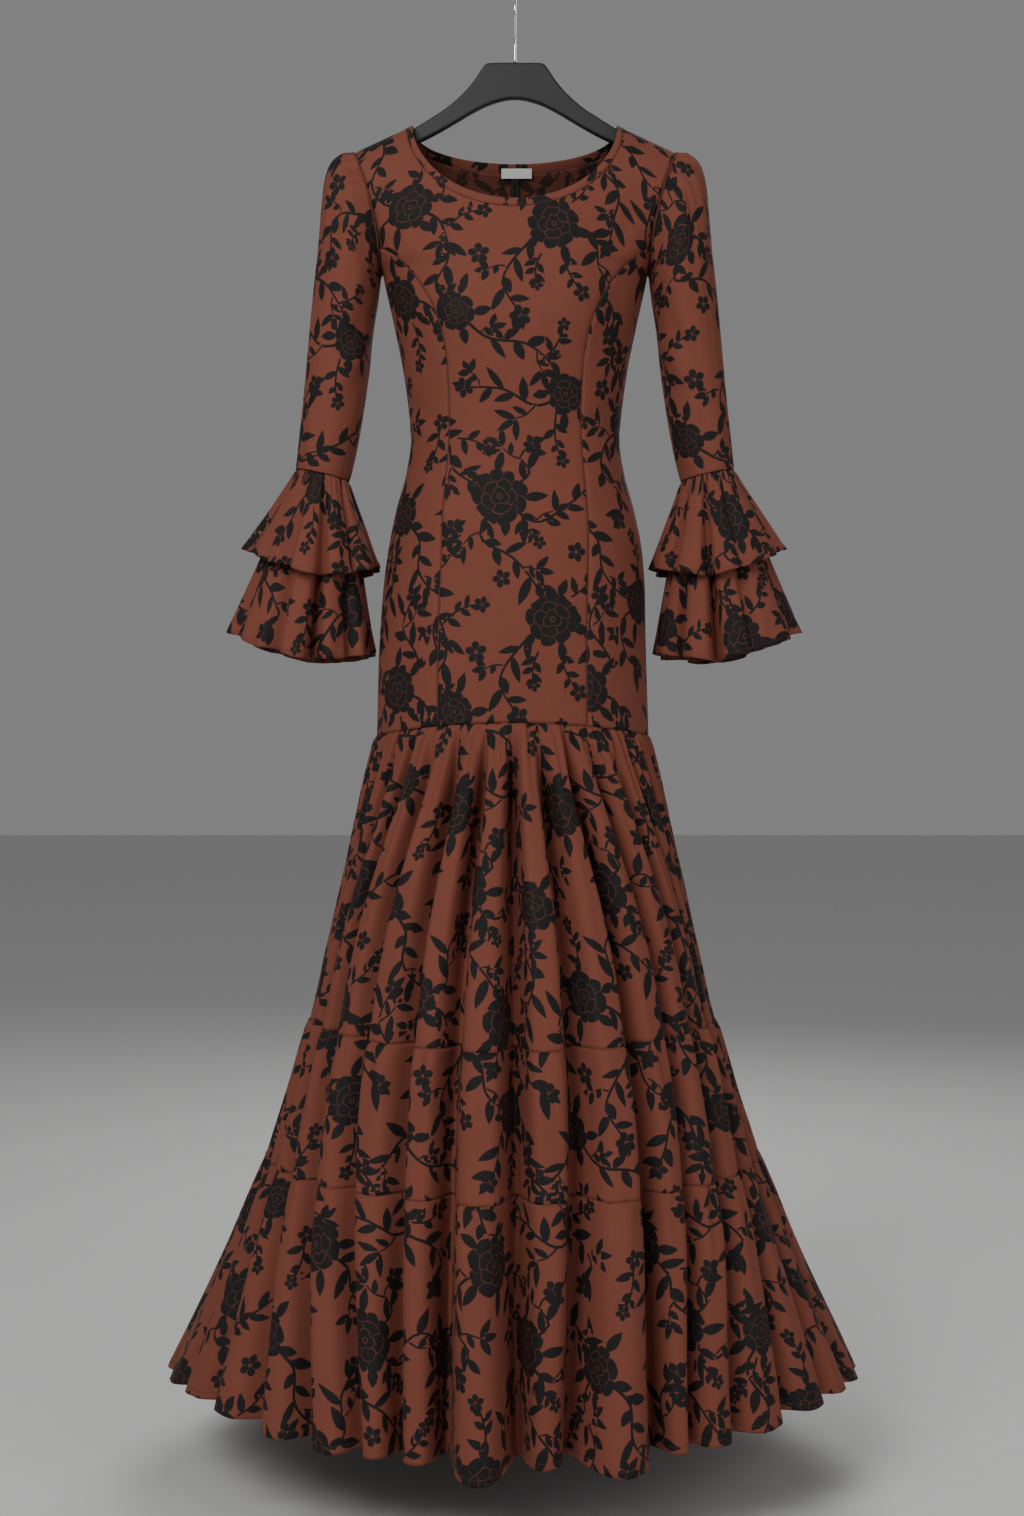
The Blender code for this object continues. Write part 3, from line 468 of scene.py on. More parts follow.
# sleeve creases, in (turn in degrees, drop): 0 is the outer side, 90 the front
SLEEVE_CREASES = (
    (60, 215, 76, 330, 9, -2.6), (86, 218, 96, 300, 8, -2.2), (34, 210, 48, 300, 9, 2.2),
    (112, 250, 122, 330, 8, -1.8),
    (-62, 216, -78, 326, 9, -2.4), (-90, 220, -98, 306, 8, 2.0), (130, 400, 84, 446, 10, -2.4),
    (150, 424, 96, 474, 9, 2.0), (-140, 404, -90, 452, 10, -2.4), (-150, 436, -104, 480, 9, 2.0),
    (90, 480, 84, 560, 9, -1.7), (52, 486, 58, 562, 8, 1.5), (-84, 484, -88, 560, 9, -1.6),
    (-50, 470, -54, 556, 9, 1.4),
    (176, 440, 140, 470, 8, -2.0), (20, 330, 30, 470, 14, 1.3), (-24, 340, -30, 470, 14, -1.3),
    (120, 330, 104, 398, 10, 1.5),
)


def sleeve(steps, turns):
    """The right-hand sleeve: rings lofted from armhole to cuff, gathered at the head, creased at the elbow.

    Over the head, gathers sink by 4.6 (1 - |sin(14 turn + 1.2 sin(4 turn))|)^1.1, and fade as
    exp(-step / 2.2).
    The cuff has fine ripples, 0.9 sin(22 turn + sin(3 turn)), which fade above it.
    """
    names = ("outer_x", "outer_drop", "inner_x", "inner_drop", "half_depth", "bow")
    down = np.clip(steps, 0, None)[:, None]
    rows = Ring(*(along(down, SLEEVE_RINGS["step"], SLEEVE_RINGS[name]) for name in names), 0 * down)
    turns = turns[None, :]
    points = ring_points(turns, rows)
    first = armhole_ring(turns)
    into = smooth_step(steps + 1)[:, None, None]
    points = np.where(steps[:, None, None] < 0, first + (points - first) * into, points)
    angle = (np.degrees(turns) + 180) % 360 - 180
    drop = -points[..., 2]
    head = smooth_step((np.cos(turns) + 0.05) / 0.35) * (0.8 + 0.5 * uneven(angle / 11, 2))
    step, round_arm = steps[:, None], np.radians(angle)
    fade = np.exp(-np.clip(step, -0.2, None) / 2.2) * smooth_step((step + 1) / 0.4)
    pleats = (1 - np.abs(np.sin(round_arm * 14 + 1.2 * np.sin(round_arm * 4)))) ** 1.1
    lift = -4.6 * head * fade * pleats
    rows = [(start * DEGREE, top, end * DEGREE, *size) for start, top, end, *size in SLEEVE_CREASES]
    lift = lift + creases(angle * DEGREE, drop, rows)
    lift = lift + 0.6 * uneven(angle / 15, 3) * uneven(drop / 31, 1) * smooth_step((step - 1) / 2)
    last = len(SLEEVE_RINGS["step"]) - 1
    cuff = 0.9 * np.exp(-(last - step) / 0.35) * np.sin(round_arm * 22 + np.sin(round_arm * 3))
    points = points - outward(points) * ((lift + cuff) * smooth_step((last - step) / 0.4))[..., None]
    return points[:, ::-1]


# ================================================================ ruffles
def lobes(starts, depths, steps):
    """Turn and sink for a round of lobes with valleys at starts.

    Between valleys a lobe rises as 0.35 of sin(pi t)^0.75 and 0.65 of a smooth step of sin(pi t).
    """
    following = np.append(starts[1:], starts[0] + 360)
    turns = starts[:, None] + (following - starts)[:, None] * steps
    sink = depths[:, None] * (1 - steps) + np.roll(depths, -1)[:, None] * steps
    soft = np.sqrt(np.sin(np.pi * steps) ** 2 + 0.0025)
    foot, side = WAVE_PILLAR
    raised = (1 - PILLAR_SHARE) * soft**WAVE_ROUND + PILLAR_SHARE * smooth_step((soft - foot) / side)
    return turns, sink * (1 - raised)


def ruffle(row, steps, seed):
    """A right-hand ruffle: a cone from cuff to hem with round lobes, fine gathers and a lively hem.

    Lobes deepen as step^0.6, gathers fade as exp(-step / 0.16), and the hem's edge waves in and out and up.
    """
    places = np.linspace(0, 1, FOLD_STEPS, endpoint=False)
    turns, sink = lobes(WAVES["turn"], WAVES[row.name], places[None, :])
    turns, sink = turns.ravel(), sink.ravel()
    angles = np.radians(turns)
    top = np.array([
        CUFF.outer_x - row.inset, CUFF.outer_drop + CUFF_GAP, CUFF.inner_x + row.inset,
        CUFF.inner_drop + CUFF_GAP, CUFF.half_depth - row.inset, 0, 0,
    ])
    step = steps[:, None]
    rows = Ring(*(a + (b - a) * step for a, b in zip(top, row.hem)))
    points = ring_points(angles[None, :], rows)
    inward = points.mean(axis=1, keepdims=True) - points
    inward[..., 2] = 0
    inward /= np.linalg.norm(inward, axis=-1, keepdims=True)
    gathers = 1.3 * np.sin(turns[None, :] * 0.62 + 2 * np.sin(np.radians(turns[None, :]) * 5 + seed))
    gathers = gathers * np.exp(-step / 0.16) * smooth_step(step / 0.05)
    flutter = 2.6 * uneven(turns[None, :] / 11, seed) * smooth_step((step - 0.45) / 0.55)
    edge = 2.2 * uneven(turns[None, :] / 6.5, seed + 3) * smooth_step((step - 0.85) / 0.15)
    into = sink * step**WAVE_OPENS - gathers - flutter - edge
    points = points + inward * into[..., None]
    points[..., 2] += 1.8 * uneven(turns[None, :] / 14, seed + 1) * step**3
    return points[:, ::-1]


# ================================================================ skirt
def tier_dip(tier, step):
    """How much lower the front hangs at a share of the way down a tier."""
    return tier.dip_above + (tier.front_dip - tier.dip_above) * step


def skirt(tier, steps):
    """A tier's closed surface on (step down the tier, place round the skirt), as folds of FOLD_STEPS columns.

    Level rings are two half ellipses. Between valleys the cloth rises as a smooth step of sin(pi t), which
    turns half into sin(pi t)^0.8 towards the hem. Gathers are a fine wave that fades down from the tier's
    seam, and each lobe has a weak wave of its own.
    """
    drop = (tier.top + (tier.bottom - tier.top) * steps)[:, None, None]
    step = steps[:, None, None]
    down = (drop - HIP) / (HEM_DROP - HIP)
    places = np.linspace(0, 1, FOLD_STEPS, endpoint=False)[None, None, :]
    crest = FOLDS["crest"][None, :, None]
    way = np.where(places < crest, 0.5 * places / crest, 0.5 + 0.5 * (places - crest) / (1 - crest))
    lobe = np.sqrt(np.sin(np.pi * way) ** 2 + 0.002)

    knots = (HIP, MIDDLE_DROP, HEM_DROP)
    weights = [along(drop, knots, row) for row in np.eye(3)]
    valleys = sum(w * FOLDS[name][None, :, None] for w, name in zip(weights, ("hip", "middle", "hem")))
    following = np.concatenate([valleys[:, 1:], valleys[:, :1] + 360], axis=1)
    turns = valleys + (following - valleys) * places
    angles = np.radians(turns)
    fold = np.arange(FOLD_COUNT)[None, :, None]

    over, start = FOLDS_OPEN
    keeps = FOLDS["hip_share"][None, :, None] * (1 - down) + down
    depth = FOLDS["depth"][None, :, None] * keeps * smooth_step(down / over + start)
    depth = depth * (1 - way) + np.roll(depth, -1, axis=1) * way
    foot, side = PILLAR
    turned = HEM_ROUNDS * down
    rounded = turned * lobe**LOBE_ROUND + (1 - turned) * smooth_step((lobe - foot) / side)
    lift = FOLDS["reach"][None, :, None] * lobe * down**1.5 - depth * (1 - rounded)

    seam_way = (fold + places) * 2 * np.pi
    height = tier.bottom - tier.top

    def fading(lengths):
        fades, begins = lengths
        return np.exp(-step * height / fades) * smooth_step(step * height / begins)

    pleats = np.abs(np.sin(seam_way * SIDE_PLEATS / 4 + 0.8 * np.sin(seam_way * 0.37) + tier.top)) ** 0.7
    lift = lift + (5.0 + 1.8 * uneven(seam_way / 3, 4)) * (pleats - 0.7) * fading(PLEATS_FADE)
    ripples = np.sin(seam_way * 2.31 + np.sin(seam_way * 0.41) * 2 + tier.top)
    lift = lift + 2.2 * ripples * fading(RIPPLES_FADE)
    lift = lift + 1.6 * lobe**2 * uneven(fold * 2.1 + drop / 95, 2) * np.sin(np.pi * places * 3 + fold)
    seam = np.exp(-((step * height / SEAM_PINCH) ** 2))
    if tier.bottom < HEM_DROP:
        seam = seam + np.exp(-(((1 - step) * height / SEAM_PINCH) ** 2))
    lift = lift - 0.9 * seam
    hem = smooth_step((down - 0.93) / 0.07)
    lift = lift + 2.0 * hem * uneven(turns / 3.4, 6) * lobe

    half, sine, cosine = at_drop(drop, SKIRT, "half_width"), np.sin(angles), np.cos(angles)
    deep = np.where(cosine > 0, at_drop(drop, SKIRT, "front"), at_drop(drop, SKIRT, "back"))
    length = np.sqrt((sine / half) ** 2 + (cosine / deep) ** 2)
    out = lift + WALL / 2
    x = half * sine + out * sine / half / length + SKIRT_DRIFT
    y = -deep * cosine - out * cosine / deep / length

    from_front = np.abs((turns + 90) % 180 - 90)
    rise = np.interp(from_front, HEM_RISE["turn"], HEM_RISE["rise"])
    rise = rise * smooth_step((drop - TIERS[2].top) / (HEM_DROP - TIERS[2].top))
    rise = rise + HIP_RISE * cosine**2 * smooth_step(1 - (drop - HIP) / HIP_BLEND)
    hang = FOLDS["hang"][None, :, None] * lobe * smooth_step((down - HANG_FROM) / (1 - HANG_FROM))
    dip = tier_dip(tier, step) * np.clip(cosine, 0, 1) ** 2
    points = np.stack(np.broadcast_arrays(x, y, -(drop + dip + hang - rise)), axis=-1)
    return points.reshape(len(steps), -1, 3)


def lobe_places(points):
    """Flat (u left, u right) of each fold's faces: the arc from its crest, with crests a hem's lobe apart.

    The cloth between the lobes lies hidden in the valleys, so the print breaks there as on gathered cloth.
    """
    run = arc(ring_closed(points), 1)
    starts = run[:, :-1:FOLD_STEPS]
    ends = run[:, FOLD_STEPS::FOLD_STEPS]
    middle = (starts + ends) / 2
    wide = (ends - starts)[-1]
    centre = np.cumsum(wide) - wide / 2
    shift = np.repeat(centre[None, :] - middle, FOLD_STEPS, axis=1)
    return run[:, :-1] + shift, run[:, 1:] + shift


# ================================================================ the print
REPEAT = (380.0, 460.0)  # the printed repeat's width and length
BLOOMS = table("x y radius turn petals", (
    (70, 60, 31, 10, 8),
    (250, 30, 24, 50, 7),
    (172, 150, 33, 100, 9),
    (330, 168, 26, 200, 7),
    (58, 268, 29, 280, 8),
    (236, 292, 32, 340, 9),
    (346, 372, 30, 150, 8),
    (122, 398, 23, 70, 7),
))
FLOWERS = table("x y radius turn", (
    (18, 20, 13, 0), (130, 22, 12, 30), (304, 92, 13, 60), (118, 186, 12, 15),
    (26, 172, 13, 45), (262, 214, 12, 70), (366, 262, 12, 20), (148, 330, 13, 50),
    (300, 318, 11, 10), (196, 404, 13, 35), (52, 346, 12, 65), (296, 442, 12, 5),
    (210, 88, 11, 25), (14, 420, 12, 55), (372, 60, 11, 40), (176, 246, 11, 33),
))
# each vine runs from a bloom through its points, with leaves on alternate sides
VINES = (
    ((70, 60), (108, 84), (118, 118), (172, 150)),
    ((172, 150), (214, 180), (256, 156), (288, 136), (330, 168)),
    ((330, 168), (366, 196), (372, 236), (402, 262), (438, 268)),
    ((58, 268), (100, 288), (112, 332), (96, 366), (122, 398)),
    ((122, 398), (158, 428), (204, 436), (236, 462), (250, 490)),
    ((236, 292), (280, 304), (292, 346), (320, 366), (346, 372)),
    ((172, 150), (150, 196), (188, 222), (214, 252), (236, 292)),
    ((346, 372), (388, 388), (404, 432), (430, 460), (450, 520)),
    ((250, 30), (292, 44), (318, 68), (304, 92)),
    ((70, 60), (32, 78), (14, 116), (40, 142), (26, 172)),
    ((236, 292), (204, 318), (176, 362), (196, 404)),
    ((330, 168), (306, 206), (326, 246), (310, 284), (300, 318)),
    ((346, 372), (316, 392), (306, 420), (296, 442)),
    ((58, 268), (98, 254), (96, 214), (118, 186)),
    ((250, 30), (214, 44), (176, 26), (130, 22)),
    ((122, 398), (84, 408), (50, 442), (14, 420)),
    ((58, 268), (20, 292), (26, 330), (52, 346)),
    ((346, 372), (378, 340), (352, 300), (366, 262)),
    ((172, 150), (206, 124), (196, 104), (210, 88)),
)
# short bowed sprigs in the gaps between the vines, each with small leaves and a flower at its tip
SPRIGS = table("x y turn length bow flower", (
    (238, 52, 82, 56, 5, 9),
    (370, 66, 104, 46, -4, 8),
    (56, 238, -100, 50, 5, 9),
    (108, 296, -24, 50, -6, 10),
    (246, 322, 68, 58, 6, 11),
    (222, 452, -58, 46, 5, 8),
    (352, 402, 96, 50, -5, 9),
    (122, 80, 22, 42, -4, 8),
    (258, 266, -48, 42, 4, 7),
    (220, 330, 98, 38, 4, 8),
    (274, 22, -18, 46, 5, 9),
    (318, 194, 128, 46, -5, 9),
    (196, 166, 60, 44, 5, 8),
))
VINE_PITCH = 7.0  # between the points of a vine
SPRIG_PITCH = 6.0
LEAF_PITCH = 13.5
STEM_HALF = 1.4


def wander(points, pitch=VINE_PITCH):
    """Evenly spaced points along the smooth curve through a vine's points, a cubic for each four in turn."""
    p = np.asarray(points, float)
    p = np.concatenate([[2 * p[0] - p[1]], p, [2 * p[-1] - p[-2]]])
    t = np.linspace(0, 1, 24, endpoint=False)[None, :, None]
    a, b, c, d = (p[k : len(p) - 3 + k, None, :] for k in range(4))
    curve = 0.5 * (2 * b + (c - a) * t + (2 * a - 5 * b + 4 * c - d) * t**2 + (3 * b - a - 3 * c + d) * t**3)
    curve = np.concatenate([curve.reshape(-1, 2), p[-2][None]])
    run = arc(curve, 0)
    return at_places(np.linspace(0, run[-1], int(run[-1] / pitch) + 1), run, curve)


def print_chart():
    """Leaves (x, y, turn, length, half width), stems (x, y, x, y, half width, starts, ends) and flowers."""
    leaves, stems = [], []
    flowers = np.column_stack(list(FLOWERS.values())).tolist()

    def stem(points, start, end):
        half = np.linspace(start, end, len(points))[1:]
        ends = np.zeros((len(points) - 1, 2))
        ends[0, 0] = ends[-1, 1] = 1
        stems.append(np.column_stack([points[:-1], points[1:], half, ends]))

    def leaf(at, turn, length, half):
        leaves.append((at[0], at[1], turn, length, half))

    for k, vine in enumerate(VINES):
        points = wander(vine)
        stem(points, 1.35 * STEM_HALF, 0.8 * STEM_HALF)
        run = np.linspace(0, VINE_PITCH * (len(points) - 1), len(points))
        heading = np.unwrap(np.arctan2(*np.gradient(points, axis=0).T[::-1]))
        places = np.arange(33 + 3 * (k % 3), run[-1] - 8, LEAF_PITCH)
        for j, place in enumerate(places):
            at = at_places(place, run, points)
            way = 1 if (j + k) % 2 else -1
            bend = np.interp(place, run, heading)
            length = 27 + 6 * math.sin(2.1 * j + k) + 3 * math.cos(1.3 * k + j * 0.7)
            turn = bend + way * math.radians(46 + 12 * math.sin(1.9 * j + 2.2 * k))
            if (j + 2 * k) % 5 == 3:
                reach = 20 + 8 * math.sin(k + j)
                tip = at + reach * np.array([math.cos(turn), math.sin(turn)])
                bowed = (at + tip) / 2 + 3 * way * np.array([-math.sin(turn), math.cos(turn)])
                stem(wander((at, bowed, tip), SPRIG_PITCH), 0.9 * STEM_HALF, 0.6 * STEM_HALF)
                for spread in (-58, 0, 56):
                    leaf(tip, turn + math.radians(spread), 0.78 * length, 4.3)
                leaf(bowed, turn - way * math.radians(60), 0.55 * length, 3.6)
            else:
                leaf(at, turn, length, 5.2 + 0.9 * math.sin(1.1 * j + k))
        leaf(points[-1], heading[-1] + 0.3, 17, 4.0)
    for k in range(len(BLOOMS["x"])):
        x, y, radius = (BLOOMS[name][k] for name in ("x", "y", "radius"))
        for j in range(5):
            turn = math.radians(72 * j + 31 * k + 14 * math.sin(3 * j + k))
            at = (x + 0.86 * radius * math.cos(turn), y + 0.86 * radius * math.sin(turn))
            leaf(at, turn + 0.35 * math.sin(j * 2 + k), 24 + 5 * math.sin(j + 2 * k), 5.6)
    for k, (x, y, turn, length, bow, flower) in enumerate(zip(*SPRIGS.values())):
        turn = math.radians(turn)
        way = np.array([math.cos(turn), math.sin(turn)])
        side = np.array([-way[1], way[0]])
        points = [(x, y) + length * t * way + bow * math.sin(math.pi * t) * side for t in (0, 0.35, 0.7, 1)]
        points = wander(points, SPRIG_PITCH)
        stem(points, STEM_HALF, 0.7 * STEM_HALF)
        flowers.append((*points[-1], flower, 25 * k))
        for j, share in enumerate((0.24, 0.42, 0.58, 0.72, 0.84)):
            at = points[int(share * (len(points) - 1))]
            spread = (1 if (j + k) % 2 else -1) * math.radians(50 + 8 * math.sin(2 * j + k))
            leaf(at, turn + spread, 19 - 2 * j + 2.5 * math.sin(k + 1.7 * j), 4.4 - 0.3 * j)
    return np.array(leaves), np.concatenate(stems), np.array(flowers)


def tiled(rows, columns=(0,)):
    """Motif rows with their copies on the eight repeats around; columns hold an x, each before its y."""
    copies = []
    for i in (-1, 0, 1):
        for j in (-1, 0, 1):
            copy = rows.copy()
            for column in columns:
                copy[:, column] += i * REPEAT[0]
                copy[:, column + 1] += j * REPEAT[1]
            copies.append(copy)
    return np.concatenate(copies)


def segment_gap(px, py, x0, y0, x1, y1):
    """Distance from points to line pieces."""
    dx, dy = x1 - x0, y1 - y0
    t = np.clip(((px - x0) * dx + (py - y0) * dy) / (dx * dx + dy * dy), 0, 1)
    return np.hypot(px - x0 - dx * t, py - y0 - dy * t)


CELL = 2.5  # the cells of the repeat, in each of which one motif of each kind is the nearest


class Print:
    """The chart with, for each cell of the repeat, the number of the nearest motif of each kind."""

    def __init__(self):
        leaves, stems, flowers = print_chart()
        self.blooms = tiled(np.column_stack(list(BLOOMS.values())))
        self.flowers = tiled(flowers)
        self.leaves = tiled(leaves)
        self.stems = tiled(stems, (0, 2))
        across = np.arange(0, REPEAT[0], CELL) + CELL / 2
        down = np.arange(0, REPEAT[1], CELL) + CELL / 2
        x, y = (grid.reshape(-1, 1) for grid in np.meshgrid(across, down, indexing="ij"))
        self.shape = (len(across), len(down))

        def nearest_round(motifs):
            px, py, radius = (column[None, :] for column in motifs.T[:3])
            return np.argmin(np.hypot(x - px, y - py) - radius, axis=1)

        self.bloom, self.flower = nearest_round(self.blooms), nearest_round(self.flowers)
        px, py, turn, length, half = (m[None, :] for m in self.leaves.T)
        tip_x, tip_y = px + length * np.cos(turn), py + length * np.sin(turn)
        gap = segment_gap(x, y, px * 0.85 + tip_x * 0.15, py * 0.85 + tip_y * 0.15,
                          px * 0.2 + tip_x * 0.8, py * 0.2 + tip_y * 0.8)
        self.leaf = np.argmin(gap - 0.55 * half, axis=1)
        x0, y0, x1, y1, a = (m[None, :] for m in self.stems.T[:5])
        self.stem = np.argmin(segment_gap(x, y, x0, y0, x1, y1) - a, axis=1)

    def places(self, corners):
        """Corner values of each face in its nearest motifs' axes, from their flat places (faces, 4, 2).

        A bloom's are x and y over its radius and its number of petals, and a flower's are x and y over its
        radius. A leaf's are along over its length and across over its half width. A stem's are across, and
        past its ends, over its half width.
        """
        middle = corners.mean(axis=1)
        base = np.floor(middle / REPEAT) * REPEAT
        cell = np.minimum(((middle - base) / CELL).astype(int), np.array(self.shape) - 1)
        number = cell[:, 0] * self.shape[1] + cell[:, 1]
        local = corners - base[:, None, :]
        x, y = local[..., 0], local[..., 1]

        def turned(rows, turn):
            dx, dy = x - rows[:, 0:1], y - rows[:, 1:2]
            return dx * np.cos(turn) + dy * np.sin(turn), dy * np.cos(turn) - dx * np.sin(turn)

        bloom = self.blooms[self.bloom[number]]
        bx, by = turned(bloom, np.radians(bloom[:, 3:4]))
        flower = self.flowers[self.flower[number]]
        fx, fy = turned(flower, np.radians(flower[:, 3:4]))
        leaf = self.leaves[self.leaf[number]]
        lx, ly = turned(leaf, leaf[:, 2:3])
        stem = self.stems[self.stem[number]]
        heading = np.arctan2(stem[:, 3] - stem[:, 1], stem[:, 2] - stem[:, 0])[:, None]
        sx, sy = turned(stem, heading)
        reach = np.hypot(stem[:, 2] - stem[:, 0], stem[:, 3] - stem[:, 1])[:, None]
        over = np.maximum(np.maximum(-sx * stem[:, 5:6], (sx - reach) * stem[:, 6:7]), 0)
        half = stem[:, 4:5]
        zero = np.zeros_like(x)
        return {
            "bloom": np.stack([bx / bloom[:, 2:3], by / bloom[:, 2:3], zero + bloom[:, 4:5]], -1),
            "flower": np.stack([fx / flower[:, 2:3], fy / flower[:, 2:3], zero], -1),
            "leaf": np.stack([lx / leaf[:, 3:4], ly / leaf[:, 4:5], zero], -1),
            "stem": np.stack([sy / half, over / half, zero], -1),
        }


CHART = Print()


# ================================================================ making meshes
def number_faces(rows, columns, closed):
    """Corner numbers of a grid's faces; closed joins the last column to the first."""
    number = np.arange(rows * columns).reshape(rows, columns)
    if closed:
        number = ring_closed(number)
    corners = (number[:-1, :-1], number[1:, :-1], number[1:, 1:], number[:-1, 1:])
    return np.stack(corners, axis=-1).reshape(-1, 4)


def link(name, data):
    """An object of its data, in the scene."""
    obj = bpy.data.objects.new(name, data)
    bpy.context.scene.collection.objects.link(obj)
    return obj


def sheet_mesh(name, points, closed=False):
    """A grid of points in millimetres as a smooth mesh, in metres."""
    rows, columns = points.shape[:2]
    mesh = bpy.data.meshes.new(name)
    faces = number_faces(rows, columns, closed)
    mesh.vertices.add(rows * columns)
    mesh.vertices.foreach_set("co", (points.reshape(-1) * MM).astype(np.float32))
    mesh.loops.add(faces.size)
    mesh.loops.foreach_set("vertex_index", faces.reshape(-1).astype(np.int32))
    mesh.polygons.add(len(faces))
    mesh.polygons.foreach_set("loop_start", np.arange(0, faces.size, 4, dtype=np.int32))
    mesh.polygons.foreach_set("use_smooth", np.ones(len(faces), bool))
    mesh.update(calc_edges=True)
    mesh.validate()
    return link(name, mesh)


def lay_print(obj, left, right, down):
    """Gives faces' corners their flat places: u at the left and right columns, v down, all (rows, faces)."""
    u = np.stack([left[:-1], left[1:], right[1:], right[:-1]], -1)
    v_left, v_right = down
    v = np.stack([v_left[:-1], v_left[1:], v_right[1:], v_right[:-1]], -1)
    flat = np.stack([u, v], -1).reshape(-1, 4, 2)
    mesh = obj.data
    layer = mesh.uv_layers.new(name="cloth")
    layer.uv.foreach_set("vector", (flat.reshape(-1) * MM).astype(np.float32))
    for kind, values in CHART.places(flat).items():
        made = mesh.attributes.new(kind, "FLOAT_VECTOR", "CORNER")
        made.data.foreach_set("vector", values.reshape(-1).astype(np.float32))


def cloth_piece(name, node, points, places, closed=False):
    """A printed piece that stands for a node: its mesh, print, wall and materials.

    The wall lies half on each side of the points, with the second material, a darker copy of the first as
    painted shade, on its inside.
    """
    obj = sheet_mesh(name, points, closed)
    lay_print(obj, *places)
    obj.data.materials.append(shared(printed_crepe))
    obj.data.materials.append(shared(printed_crepe_inside))
    wall = obj.modifiers.new("wall", "SOLIDIFY")
    wall.thickness = bpy.context.scene.dress.cloth_thickness
    wall.offset = 0
    wall.material_offset = 1
    ready(obj, "printed_crepe", node)
    declare(ring_closed(points) if closed else points)


def ready(obj, slot, *nodes):
    """Rides a piece on the root, and lets it stand for its nodes. Its slot, the finish's name, is not used.
    """
    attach(obj, "root")
    if nodes:
        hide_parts(*nodes)


def finish(obj, maker, slot, *nodes):
    """Gives a piece its one material, and makes it ready."""
    obj.data.materials.append(shared(maker))
    ready(obj, slot, *nodes)


def surface_area(grid):
    """A grid's area in square metres: half the length of each face's crossed diagonals."""
    a = grid[1:, 1:] - grid[:-1, :-1]
    b = grid[1:, :-1] - grid[:-1, 1:]
    return float(np.linalg.norm(np.cross(a, b), axis=-1).sum() / 2) * MM * MM


def declare(grid):
    """Works out a sheet's longest row and longest column, along the cloth, and its flat area, and keeps none
    of them.
    """
    wide, long = float(arc(grid, 1)[:, -1].max()) * MM, float(arc(grid, 0)[-1].max()) * MM
    min(surface_area(grid), wide * long)


def face_places(run, down):
    """Flat places of the faces of a grid, from those of its points: u left, u right, and both sides' v."""
    return run[:, :-1], run[:, 1:], (down[:, :-1], down[:, 1:])


def plain_places(points, start, drop):
    """Flat places of a sheet without folds: the arc along each row from its middle, and the drop."""
    run = arc(points, 1)
    run = run - run[:, run.shape[1] // 2][:, None] + start
    return face_places(run, drop)


def tube(name, route, radius, sides=8, closed=False):
    """A round tube along a route: each ring is the route's point plus the radius times two of its normals."""
    route = np.asarray(route, float)
    if closed:
        tangent = np.roll(route, -1, axis=0) - np.roll(route, 1, axis=0)
    else:
        tangent = np.gradient(route, axis=0)
    tangent = unit(tangent)
    guide = np.where(np.abs(tangent[:, 2:3]) > 0.9, [[1.0, 0.0, 0.0]], [[0.0, 0.0, 1.0]])
    if np.ptp(guide[:, 0]) > 0:
        guide = np.tile([[0.37, 0.87, 0.31]], (len(route), 1))
    side = unit(np.cross(tangent, guide))
    other = np.cross(tangent, side)
    turns = np.linspace(0, 2 * math.pi, sides, endpoint=False)
    radius = np.broadcast_to(radius, (len(route),))[:, None, None]
    ring = side[:, None] * np.cos(turns)[None, :, None] + other[:, None] * np.sin(turns)[None, :, None]
    points = route[:, None] + radius * ring
    if not closed:
        points = np.concatenate([route[:1, None].repeat(sides, 1), points, route[-1:, None].repeat(sides, 1)])
    else:
        points = np.concatenate([points, points[:1]])
    obj = sheet_mesh(name, points, closed=True)
    merge(obj)
    return obj


def merge(obj, distance=1e-5):
    """Joins doubled points, as at poles, and turns every face outwards."""
    work = bmesh.new()
    work.from_mesh(obj.data)
    bmesh.ops.remove_doubles(work, verts=work.verts, dist=distance)
    bmesh.ops.recalc_face_normals(work, faces=work.faces)
    work.to_mesh(obj.data)
    work.free()


# ================================================================ shader maths
class Value:
    """A socket that adds Math nodes when it is used in an expression."""

    def __init__(self, shade, socket):
        self.shade, self.socket = shade, socket

    def maths(self, operation, *others):
        node = self.shade.node("ShaderNodeMath", {"operation": operation}, self, *others)
        return Value(self.shade, node.outputs[0])

    def __add__(self, other):
        return self.maths("ADD", other)

    def __sub__(self, other):
        return self.maths("SUBTRACT", other)

    def __rsub__(self, other):
        node = self.shade.node("ShaderNodeMath", {"operation": "SUBTRACT"}, other, self)
        return Value(self.shade, node.outputs[0])

    def __mul__(self, other):
        return self.maths("MULTIPLY", other)

    def __pow__(self, other):
        return self.maths("POWER", other)

    __radd__, __rmul__ = __add__, __mul__

    def abs(self):
        return self.maths("ABSOLUTE")

    def sin(self):
        return self.maths("SINE")

    def cos(self):
        return self.maths("COSINE")

    def high(self, other):
        return self.maths("MAXIMUM", other)

    def over(self, start, end):
        """0 at start and 1 at end, straight between."""
        node = self.shade.node("ShaderNodeMapRange", {"clamp": True}, self, start, end, 0.0, 1.0)
        return Value(self.shade, node.outputs[0])


